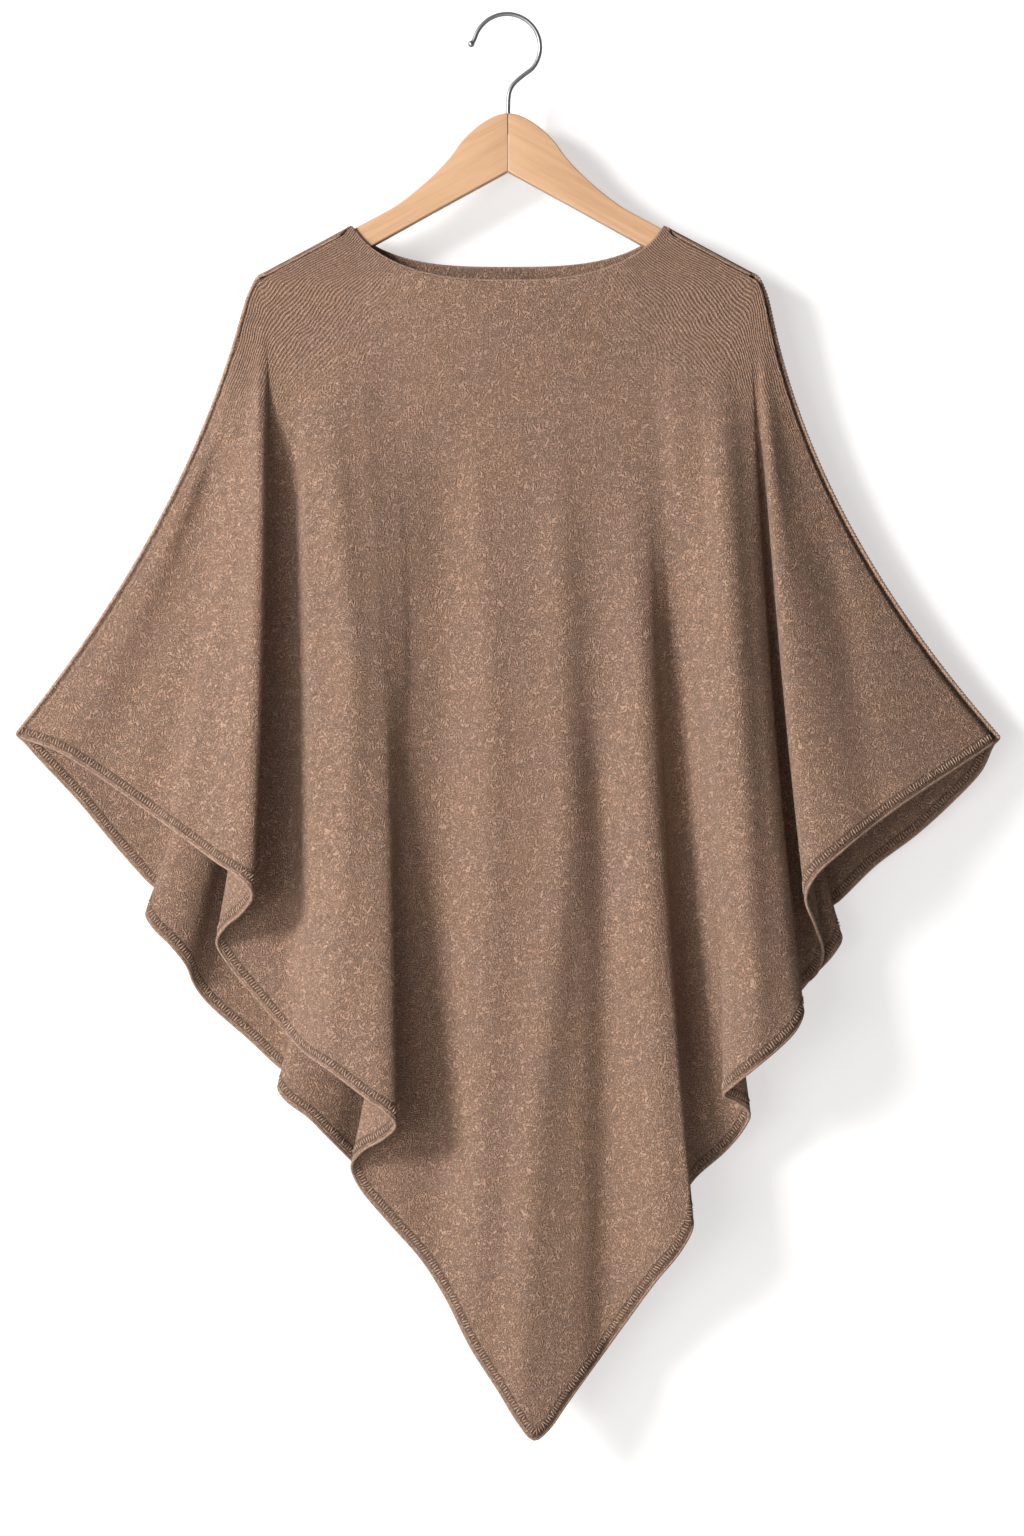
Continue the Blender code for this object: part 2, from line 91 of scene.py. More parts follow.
FRONT_SECTIONS = (
    Section("left seam", -439.0, -648.5, -3.8, -302.8, -2.6, -228.5),
    Section("left wing", -403.0, -662.0, -12.0, -290.0, -8.0, -227.4),
    Section("left wing middle", -361.0, -688.5, -17.0, -275.0, -8.0, -226.3),
    Section("left wing crease", -316.0, -721.0, -17.0, -258.0, -9.0, -225.2),
    Section("first fold rising", -290.0, -740.0, -32.0, -246.5, -18.0, -224.1),
    Section("first fold", -262.0, -761.0, -51.0, -236.0, -32.0, -223.0),
    Section("first fold crest", -240.0, -776.0, -63.0, -227.0, -42.0, -222.0),
    Section("first fold edge", -230.0, -790.0, -61.0, -221.0, -41.0, -221.0),
    Section("first fold under", -239.0, -806.0, -47.0, -219.5, -31.0, -220.0),
    Section("first fold tuck", -255.0, -820.0, -31.0, -222.0, -21.0, -219.0),
    Section("first valley tuck", -262.0, -834.0, -19.0, -223.0, -14.0, -218.0),
    Section("first valley floor", -252.0, -852.0, -12.0, -218.0, -11.0, -216.0),
    Section("first valley", -224.0, -886.0, -11.0, -206.0, -11.0, -210.0),
    Section("first valley rising", -197.0, -917.0, -18.0, -195.0, -14.0, -200.0),
    Section("second fold face", -182.0, -933.0, -33.0, -184.0, -22.0, -190.0),
    Section("second fold", -158.0, -950.0, -52.0, -167.0, -32.0, -177.0),
    Section("second fold crest", -128.0, -973.0, -64.0, -142.0, -39.0, -160.0),
    Section("second fold shoulder", -110.0, -986.0, -67.0, -126.0, -39.0, -148.0),
    Section("second fold edge", -101.0, -998.0, -62.0, -114.0, -37.0, -140.0),
    Section("second fold under", -112.0, -1010.0, -50.0, -105.0, -33.0, -134.0),
    Section("second fold tuck", -131.0, -1021.0, -37.0, -98.0, -29.0, -129.0),
    Section("second valley tuck", -140.5, -1034.0, -26.0, -92.0, -26.0, -124.0),
    Section("second valley floor", -134.0, -1052.0, -18.0, -83.0, -25.0, -118.0),
    Section("second valley", -107.0, -1085.0, -15.0, -70.0, -26.0, -107.0),
    Section("left of middle", -77.0, -1119.0, -16.0, -54.0, -28.0, -91.0),
    Section("left point side", -55.0, -1154.0, -19.0, -36.0, -30.0, -73.0),
    Section("left of point", -33.0, -1198.0, -24.0, -16.0, -31.0, -51.0),
    Section("left point edge", -8.0, -1237.0, -28.0, 4.0, -32.0, -28.0),
    Section("point left", 10.5, -1267.0, -30.0, 21.0, -33.0, -10.0),
    Section("point", 23.4, -1281.0, -31.0, 33.0, -33.0, 6.0),
    Section("point right", 35.0, -1273.0, -31.0, 45.0, -32.0, 21.0),
    Section("right point edge", 55.0, -1245.0, -28.0, 58.0, -30.0, 38.0),
    Section("right groove", 99.0, -1184.0, -20.0, 86.0, -26.0, 66.0),
    Section("right fold rising", 132.0, -1139.0, -25.0, 108.0, -28.0, 87.0),
    Section("right fold", 155.0, -1111.0, -36.0, 123.0, -31.0, 102.0),
    Section("right fold edge", 166.0, -1089.0, -39.0, 131.0, -30.0, 111.0),
    Section("right fold under", 163.0, -1074.0, -31.0, 136.0, -27.0, 116.0),
    Section("right valley tuck", 159.0, -1060.0, -18.5, 139.5, -23.0, 121.0),
    Section("right valley", 168.0, -1045.0, -7.5, 147.0, -20.5, 127.0),
    Section("third fold foot", 195.0, -1021.0, -6.0, 158.0, -24.0, 133.0),
    Section("third fold lip", 211.0, -1002.0, -9.0, 166.0, -30.0, 140.0),
    Section("third fold lip edge", 217.4, -988.0, -17.0, 173.0, -35.0, 147.0),
    Section("third fold lip under", 208.0, -978.0, -26.0, 179.0, -39.0, 153.0),
    Section("third fold turn", 194.0, -971.0, -38.0, 185.0, -41.0, 160.0),
    Section("third fold", 203.0, -962.0, -50.0, 193.0, -42.0, 168.0),
    Section("third fold crest", 225.0, -944.0, -57.0, 207.0, -42.0, 185.0),
    Section("third fold shoulder", 245.0, -927.0, -58.0, 219.5, -39.0, 202.0),
    Section("third fold side", 259.0, -912.0, -54.0, 228.0, -35.0, 212.0),
    Section("third fold edge", 265.5, -896.0, -44.0, 233.0, -29.0, 216.0),
    Section("third fold tuck", 261.0, -885.0, -29.0, 232.5, -22.0, 216.8),
    Section("slit tuck", 255.0, -878.0, -15.0, 232.0, -15.5, 217.6),
    Section("slit floor", 263.0, -873.0, -5.0, 235.2, -11.0, 218.6),
    Section("slit", 277.0, -862.0, -4.0, 239.9, -11.0, 219.5),
    Section("right wing root", 283.5, -843.0, -13.0, 242.7, -14.0, 220.4),
    Section("right wing turn", 276.0, -817.0, -29.0, 241.9, -19.0, 221.3),
    Section("right wing edge", 268.0, -793.0, -44.0, 240.9, -26.0, 222.2),
    Section("right wing lip", 277.0, -773.0, -53.0, 244.3, -30.0, 223.1),
    Section("right wing crest", 299.0, -752.5, -54.0, 251.1, -29.0, 224.1),
    Section("right wing", 330.0, -727.0, -47.0, 260.5, -22.0, 225.2),
    Section("right wing middle", 364.5, -702.0, -35.0, 271.0, -14.0, 226.3),
    Section("right wing tip", 411.0, -671.5, -17.0, 284.0, -7.0, 227.4),
    Section("right seam", 439.0, -652.5, -3.8, 294.8, -2.6, 228.5),
)

BACK_SECTIONS = (
    Section("left seam lip", -442.8, -647.0, -0.8, -307.0, -0.2, -231.0),
    Section("left seam", -437.0, -651.0, 1.4, -301.0, 1.6, -229.6),
    Section("left wing", -421.0, -668.5, 5.0, -293.0, 5.0, -228.4),
    Section("left wing middle", -385.0, -707.0, 13.0, -280.6, 9.0, -227.0),
    Section("left wing lower", -356.0, -742.0, 18.0, -269.7, 13.0, -225.6),
    Section("left wing end", -322.0, -780.0, 19.0, -258.0, 15.0, -223.8),
    Section("first column behind", -309.0, -791.0, 13.0, -250.9, 13.0, -222.2),
    Section("first column turn", -315.0, -798.0, 3.0, -249.2, 10.0, -220.6),
    Section("first column edge", -325.5, -807.0, -4.0, -248.0, 8.0, -218.8),
    Section("first column side", -319.0, -820.0, -10.0, -242.7, 6.0, -216.6),
    Section("first column face", -303.0, -836.0, -11.0, -235.0, 6.0, -214.0),
    Section("first column fall", -289.0, -854.0, -4.0, -229.0, 8.0, -211.0),
    Section("first column root", -282.0, -871.0, 8.0, -223.8, 12.0, -207.0),
    Section("left flat", -270.0, -887.0, 17.0, -215.8, 16.0, -201.0),
    Section("left flat middle", -233.0, -920.0, 23.0, -180.0, 21.0, -190.0),
    Section("left flat end", -205.0, -946.0, 20.0, -165.0, 21.0, -178.0),
    Section("second column behind", -195.0, -953.0, 11.0, -155.0, 18.0, -170.0),
    Section("second column edge", -206.6, -963.0, -2.0, -147.0, 14.0, -163.0),
    Section("second column side", -200.0, -975.0, -10.0, -138.0, 11.0, -153.0),
    Section("second column face", -180.0, -990.0, -12.0, -125.0, 9.0, -141.0),
    Section("second column fall", -161.0, -1009.0, -6.0, -112.0, 11.0, -131.0),
    Section("second column root", -140.0, -1030.0, 8.0, -98.0, 15.0, -124.0),
    Section("left middle", -108.0, -1062.0, 20.0, -80.0, 20.0, -108.0),
    Section("left point side", -66.0, -1110.0, 25.0, -52.0, 24.0, -78.0),
    Section("left of point", -25.0, -1170.0, 19.0, -22.0, 23.0, -45.0),
    Section("point left", 5.0, -1215.0, 15.0, 0.0, 21.0, -20.0),
    Section("point", 19.0, -1228.0, 14.0, 14.0, 21.0, -5.0),
    Section("point right", 33.0, -1214.0, 15.0, 28.0, 21.0, 10.0),
    Section("right of point", 62.0, -1172.0, 20.0, 48.0, 23.0, 34.0),
    Section("right point side", 105.0, -1108.0, 27.0, 78.0, 24.0, 66.0),
    Section("right middle", 140.0, -1055.0, 20.0, 104.0, 20.0, 96.0),
    Section("right groove", 163.0, -1018.0, 7.0, 124.0, 14.0, 118.0),
    Section("right groove floor", 190.0, -975.0, 0.0, 147.0, 12.0, 141.0),
    Section("right swell", 222.0, -930.0, 9.0, 168.0, 16.0, 155.0),
    Section("right swell crest", 250.0, -893.0, 16.0, 188.0, 19.0, 172.0),
    Section("third column fall", 272.0, -866.0, 7.0, 204.0, 14.0, 190.0),
    Section("third column face", 293.0, -843.0, -3.0, 217.0, 9.0, 203.0),
    Section("third column edge", 300.0, -829.0, 0.0, 234.0, 8.0, 209.5),
    Section("third column turn", 291.0, -815.0, 9.0, 236.8, 10.0, 214.0),
    Section("third column behind", 284.0, -806.0, 18.0, 239.0, 14.0, 217.5),
    Section("right wing root", 297.0, -796.0, 23.0, 246.0, 17.0, 221.0),
    Section("right wing end", 330.0, -764.0, 21.0, 257.7, 16.0, 223.6),
    Section("right wing middle", 367.0, -736.0, 15.0, 270.5, 12.0, 225.6),
    Section("right wing", 398.0, -708.0, 9.0, 279.5, 8.0, 227.0),
    Section("right wing tip", 426.0, -678.0, 4.0, 286.5, 5.0, 228.4),
    Section("right seam", 437.0, -655.0, 1.4, 293.5, 1.6, 229.6),
    Section("right seam lip", 442.8, -650.5, -0.8, 299.0, -0.2, 231.0),
)


@dataclass(frozen=True)
class Crease:
    """A soft ridge or trough laid over a panel, in millimetres.

    Args:
        name: Where it is.
        height: How far it stands towards the viewer, or back if negative.
        width: How far it reaches to each side.
        between: The names of the sections between which it lies.
        path: Its places from top to bottom, as seen from the front.
        rising: Share of its length over which it rises, and how far over the path's top that starts.
        fading: Share over which it fades, and how far under the path's bottom that ends.
    """

    name: str
    height: float
    width: float
    between: tuple[str, str]
    path: tuple[Pair, ...]
    rising: Pair = (0.22, 0.10)
    fading: Pair = (0.25, 0.22)

    def lifted(self, x: Grid, z: Grid) -> Grid:
        """How far it brings the cloth at these places towards the viewer, in millimetres.

        Args:
            x: Places across, as seen from the front.
            z: Their heights.

        Returns:
            One movement per place.
        """
        places, heights = np.array(self.path).T
        length = heights[0] - heights[-1]
        rise, above = self.rising
        fade, below = self.fading
        starts = smooth_step(0.0, rise * length, heights[0] + above * length - z)
        ends = smooth_step(0.0, fade * length, z - heights[-1] + below * length)
        aside = (x - np.interp(-z, -heights, places)) / self.width
        return self.height * np.exp(-aside ** 2) * starts * ends


FRONT_CREASES = (
    Crease("trough in the left wing", -6.5, 26.0, ("left wing", "left wing crease"),
           ((-264.0, -400.0), (-314.0, -560.0), (-366.0, -680.0))),
    Crease("left wing's crown", 6.0, 14.0, ("left seam", "first fold crest"),
           ((-238.0, -340.0), (-256.0, -500.0), (-284.0, -670.0), (-299.0, -735.0))),
    Crease("trough in the first valley", -8.0, 22.0, ("first valley tuck", "second fold face"),
           ((-186.0, -380.0), (-184.0, -600.0), (-192.0, -820.0))),
    Crease("second fold's crown", 5.0, 15.0, ("second fold face", "second fold edge"),
           ((-163.0, -364.0), (-141.0, -586.0), (-152.0, -825.0), (-172.0, -966.0))),
    Crease("left middle trough", -10.0, 26.0, ("second valley tuck", "left of point"),
           ((-58.0, -400.0), (-57.0, -700.0), (-62.0, -1040.0))),
    Crease("left middle crown", 3.0, 16.0, ("second valley", "point"),
           ((-14.0, -520.0), (-18.0, -800.0), (-30.0, -1120.0))),
    Crease("middle crown", 6.0, 17.0, ("left of middle", "right fold rising"),
           ((45.0, -420.0), (53.0, -680.0), (52.0, -766.0), (24.0, -1005.0), (12.0, -1216.0))),
    Crease("right middle trough", -6.0, 14.0, ("left of middle", "right fold rising"),
           ((80.0, -640.0), (88.0, -760.0), (87.0, -1000.0), (86.0, -1200.0))),
    Crease("right middle crown", 9.0, 20.0, ("right groove", "right valley"),
           ((118.0, -500.0), (121.0, -650.0), (127.0, -886.0), (134.0, -1090.0))),
    Crease("trough beside the right fold", -9.0, 20.0, ("right fold under", "third fold"),
           ((166.0, -400.0), (161.0, -686.0), (164.0, -900.0))),
    Crease("third fold's crown", 8.0, 15.0, ("third fold turn", "third fold edge"),
           ((192.0, -340.0), (206.0, -600.0), (222.0, -890.0))),
    Crease("trough in the right wing", -4.0, 18.0, ("right wing crest", "right wing tip"),
           ((290.0, -470.0), (316.0, -640.0), (334.0, -730.0))),
)

BACK_CREASES = (
    Crease("back's left trough", 5.0, 16.0, ("left flat end", "left middle"),
           ((-120.0, -330.0), (-140.0, -560.0), (-150.0, -800.0))),
    Crease("back's left crown", -5.0, 18.0, ("second column root", "point"),
           ((-60.0, -400.0), (-72.0, -700.0), (-80.0, -1000.0))),
    Crease("back's middle trough", 5.0, 15.0, ("left middle", "right middle"),
           ((8.0, -420.0), (4.0, -760.0), (10.0, -1100.0))),
    Crease("back's right crown", -5.0, 17.0, ("point", "right groove floor"),
           ((82.0, -380.0), (92.0, -700.0), (110.0, -980.0))),
    Crease("back's right trough", 4.0, 12.0, ("right groove floor", "third column face"),
           ((180.0, -420.0), (200.0, -650.0), (226.0, -860.0))),
)


def smooth_step(low: float, high: float, value: Grid | float) -> Grid:
    """0 below low, 1 above high and a smooth curve between them."""
    share = np.clip((np.asarray(value, float) - low) / (high - low), 0.0, 1.0)
    return share * share * (3.0 - 2.0 * share)


def through_rows(rows: Grid, steps: Sequence[int]) -> Grid:
    """Points on a centripetal Catmull-Rom curve through rows of numbers.

    Args:
        rows: One row for each section. Its first three numbers set the curve's pace.
        steps: How many points to read from each row to the next.

    Returns:
        The points, from the first row to the last.
    """
    ends = np.vstack([2 * rows[0] - rows[1], rows, 2 * rows[-1] - rows[-2]])
    points = []
    for i, count in enumerate(steps):
        p = ends[i:i + 4]
        gaps = np.linalg.norm(np.diff(p[:, :3], axis=0), axis=1) ** 0.5
        t = np.concatenate([[0.0], np.cumsum(gaps)])
        for k in range(count):
            at = t[1] + (t[2] - t[1]) * k / count
            a = [((t[j + 1] - at) * p[j] + (at - t[j]) * p[j + 1]) / (t[j + 1] - t[j])
                 for j in range(3)]
            b = [((t[j + 2] - at) * a[j] + (at - t[j]) * a[j + 1]) / (t[j + 2] - t[j])
                 for j in range(2)]
            points.append(((t[2] - at) * b[0] + (at - t[1]) * b[1]) / (t[2] - t[1]))
    points.append(rows[-1])
    return np.array(points)


def normals_of(grid: Grid) -> Grid:
    """Unit normals of a grid's surface, from the turn of its rows and columns.

    Args:
        grid: The surface's points, row by row.

    Returns:
        One unit vector per point.
    """
    down = np.gradient(grid, axis=0)
    across = np.gradient(grid, axis=1)
    normal = np.cross(across, down)
    return normal / np.maximum(np.linalg.norm(normal, axis=2, keepdims=True), 1e-12)


def lengths_along(line: Grid) -> Grid:
    """Length covered from a line's first point to each one."""
    return np.concatenate([[0.0], np.cumsum(np.linalg.norm(np.diff(line, axis=0), axis=1))])


def read_at(at: Grid | float, run: Grid, values: Grid) -> Grid:
    """The rows of values at those lengths, where run holds each row's own length."""
    return np.stack([np.interp(at, run, values[:, k]) for k in range(3)], axis=-1)


def hem_directions(grid: Grid, rows_up: int = 3, least: float = 0.3) -> tuple[Grid, Grid]:
    """Directions at a grid's last row, which is the hem.

    Args:
        grid: The panel's middle surface.
        rows_up: How many rows over the hem give the columns' direction.
        least: The smallest sine to give.

    Returns:
        The way up square to the hem, and the sine between the hem and the columns.
    """
    level = np.gradient(grid[-1], axis=0)
    level /= np.linalg.norm(level, axis=1, keepdims=True)
    up = grid[-1 - rows_up] - grid[-1]
    up /= np.linalg.norm(up, axis=1, keepdims=True)
    square = up - np.sum(up * level, axis=1, keepdims=True) * level
    sine = np.linalg.norm(square, axis=1)
    return square / np.maximum(sine, 1e-6)[:, None], np.clip(sine, least, 1.0)


def over_hem(grid: Grid) -> Grid:
    """Each point's distance from the hem, measured square to it, in metres.

    Args:
        grid: A panel's middle surface, whose last row is the hem.

    Returns:
        One distance per point.
    """
    steps = np.linalg.norm(np.diff(grid, axis=0), axis=2)
    down = np.vstack([np.zeros(steps.shape[1]), np.cumsum(steps, axis=0)])
    return (down[-1] - down) * hem_directions(grid)[1]


def link(obj: bpy.types.Object) -> bpy.types.Object:
    """Puts an object in the scene and returns it."""
    bpy.context.scene.collection.objects.link(obj)
    return obj


def as_object(name: str, shape: bmesh.types.BMesh, material: bpy.types.Material) -> bpy.types.Object:
    """Turns a shape into a smooth mesh object of that material, and frees the shape.

    Args:
        name: The piece's name.
        shape: The shape, which can't be used afterwards.
        material: Its finish.

    Returns:
        The object, put in the scene.
    """
    mesh = bpy.data.meshes.new(name)
    shape.to_mesh(mesh)
    shape.free()
    mesh.materials.append(material)
    mesh.shade_smooth()
    return link(bpy.data.objects.new(name, mesh))


def settle(obj: bpy.types.Object) -> bpy.types.Object:
    """Makes a curve or an object with modifiers a plain mesh in place, with its materials.

    Args:
        obj: The object, which is replaced.

    Returns:
        The mesh object of the same name.
    """
    bpy.context.view_layer.update()
    graph = bpy.context.evaluated_depsgraph_get()
    mesh = bpy.data.meshes.new_from_object(obj.evaluated_get(graph))
    mesh.transform(obj.matrix_world)
    name = obj.name
    materials = [slot.material for slot in obj.material_slots]
    bpy.data.objects.remove(obj, do_unlink=True)
    mesh.materials.clear()
    for material in materials:
        mesh.materials.append(material)
    return link(bpy.data.objects.new(name, mesh))


def weld(obj: bpy.types.Object) -> None:
    """Joins a mesh's doubled points and turns its faces outwards.

    Args:
        obj: The mesh object, changed in place.
    """
    shape = bmesh.new()
    shape.from_mesh(obj.data)
    bmesh.ops.remove_doubles(shape, verts=shape.verts, dist=1e-6)
    bmesh.ops.recalc_face_normals(shape, faces=shape.faces)
    shape.to_mesh(obj.data)
    shape.free()


def combined(obj: bpy.types.Object, other: bpy.types.Object, operation: str,
             material: bpy.types.Material, sharp: float) -> bpy.types.Object:
    """Cuts another object out of one or joins it to it, and shades the result.

    Args:
        obj: The object that is replaced by the result.
        other: The object that is cut out or joined, and then removed.
        operation: The Boolean modifier's operation.
        material: The result's material.
        sharp: The turn between two faces from which their edge is sharp, in degrees.

    Returns:
        The mesh object.
    """
    modifier = obj.modifiers.new("Combined", "BOOLEAN")
    modifier.operation = operation
    modifier.object = other
    obj.data.materials.clear()
    obj.data.materials.append(material)
    made = settle(obj)
    bpy.data.objects.remove(other, do_unlink=True)
    made.data.shade_smooth()
    made.data.set_sharp_from_angle(angle=math.radians(sharp))
    return made


class Nodes:
    """Short ways to add and join the nodes of one tree."""

    def __init__(self, tree: bpy.types.NodeTree) -> None:
        """Keeps the tree."""
        self.tree = tree

    def feed(self, node: bpy.types.Node, inputs: dict[str | int, object]) -> None:
        """Links or sets a node's inputs, each given as a socket or a value.

        Args:
            node: The node.
            inputs: What goes into it, by the input's name or number.
        """
        for name, value in inputs.items():
            if isinstance(value, Socket):
                self.tree.links.new(value, node.inputs[name])
            else:
                node.inputs[name].default_value = value

    def add(self, kind: str, inputs: dict[str | int, object] | None = None,
            **settings: object) -> bpy.types.Node:
        """Adds a node of that kind, sets its properties and feeds its inputs.

        Args:
            kind: Blender's name for the kind of node.
            inputs: What goes into it, by the input's name or number.
            settings: Its properties.

        Returns:
            The node.
        """
        node = self.tree.nodes.new(kind)
        for name, value in settings.items():
            setattr(node, name, value)
        self.feed(node, inputs or {})
        return node

    def math(self, operation: str, *values: object) -> Socket:
        """Adds a Math node on sockets or numbers and returns its result."""
        return self.add("ShaderNodeMath", dict(enumerate(values)), operation=operation).outputs[0]

    def vector_math(self, operation: str, *values: object) -> Socket:
        """Adds a Vector Math node on sockets or vectors and returns its result."""
        return self.add("ShaderNodeVectorMath", dict(enumerate(values)), operation=operation).outputs[0]

    def mapping(self, vector: Socket, **inputs: object) -> Socket:
        """A vector turned or scaled by a Mapping node with those inputs."""
        return self.add("ShaderNodeMapping", {"Vector": vector, **inputs}, vector_type="POINT").outputs[0]

    def blend(self, share: object, first: object, second: object) -> Socket:
        """Mixes two colours, given as sockets or as red, green and blue."""
        first, second = (value if isinstance(value, Socket) else (*value, 1.0) for value in (first, second))
        return self.add("ShaderNodeMix", {0: share, 6: first, 7: second}, data_type="RGBA").outputs[2]

    def noise(self, vector: Socket, scale: object, detail: float, **inputs: object) -> bpy.types.Node:
        """A Noise Texture node on that vector."""
        return self.add("ShaderNodeTexNoise", {"Vector": vector, "Scale": scale, "Detail": detail, **inputs})

    def ramp(self, value: Socket, low: float, high: float) -> Socket:
        """A smooth 0 to 1 as value goes from low to high."""
        return self.add("ShaderNodeMapRange", {"Value": value, "From Min": low, "From Max": high},
                        interpolation_type="SMOOTHSTEP").outputs["Result"]

    def attribute(self, name: str) -> Socket:
        """A number kept on the mesh's points."""
        return self.add("ShaderNodeAttribute", attribute_name=name).outputs["Fac"]

    def place(self) -> Socket:
        """The place on the object."""
        return self.add("ShaderNodeTexCoord").outputs["Object"]

    def bump(self, height: Socket, strength: float, distance: float, **inputs: object) -> Socket:
        """Normals bent by a height."""
        return self.add("ShaderNodeBump", {"Height": height, "Strength": strength, "Distance": distance,
                                           **inputs}).outputs["Normal"]


def new_material(name: str) -> tuple[bpy.types.Material, Nodes, bpy.types.Node]:
    """A material with a Principled shader, its node helper and that shader.

    Args:
        name: The material's name.

    Returns:
        The three of them.
    """
    material = bpy.data.materials.new(name)
    material.use_nodes = True
    return material, Nodes(material.node_tree), material.node_tree.nodes["Principled BSDF"]


def shared_group(name: str, inputs: dict[str, str],
                 build: Callable[[Nodes, object], tuple[Socket, Socket]]) -> bpy.types.NodeTree:
    """A shader node group that puts out a colour and a height, made on its first use.

    Args:
        name: The group's name.
        inputs: The kind of socket for each named input.
        build: Adds its nodes on its inputs and returns the colour and the height.

    Returns:
        The group, the same one for every material.
    """
    if name in bpy.data.node_groups:
        return bpy.data.node_groups[name]
    tree = bpy.data.node_groups.new(name, "ShaderNodeTree")
    for label, kind in inputs.items():
        tree.interface.new_socket(label, in_out="INPUT", socket_type=f"NodeSocket{kind}")
    for label, kind in (("Colour", "Color"), ("Height", "Float")):
        tree.interface.new_socket(label, in_out="OUTPUT", socket_type=f"NodeSocket{kind}")
    nodes = Nodes(tree)
    colour, height = build(nodes, nodes.add("NodeGroupInput").outputs)
    nodes.add("NodeGroupOutput", {"Colour": colour, "Height": height})
    return tree


def spun_mottle(nodes: Nodes, given: object) -> tuple[Socket, Socket]:
    """The mottling of spun thread, on the group's inputs."""
    mottle = nodes.noise(given["Place"], given["Twist"], 3.0).outputs["Fac"]
    return nodes.blend(nodes.ramp(mottle, 0.35, 0.65), given["Dark"], given["Light"]), mottle


def wood_grain(nodes: Nodes, given: object) -> tuple[Socket, Socket]:
    """Wood grain along X, on the group's inputs.

    Args:
        nodes: The group's node helper.
        given: The group's inputs.

    Returns:
        The grain's colour, and its fine lines for a bump.
    """
    drawn = nodes.mapping(given["Place"], Scale=(6.0, 60.0, 130.0))
    grain = nodes.noise(drawn, 1.6, 4.0, Roughness=0.6, Distortion=0.4).outputs["Fac"]
    fine = nodes.noise(drawn, 9.0, 3.0).outputs["Fac"]
    lines = nodes.math("MULTIPLY", nodes.ramp(grain, 0.40, 0.68), 0.55)
    streaks = nodes.math("MULTIPLY_ADD", nodes.ramp(fine, 0.45, 0.75), 0.25, lines)
    return nodes.blend(streaks, given["Light"], given["Dark"]), fine


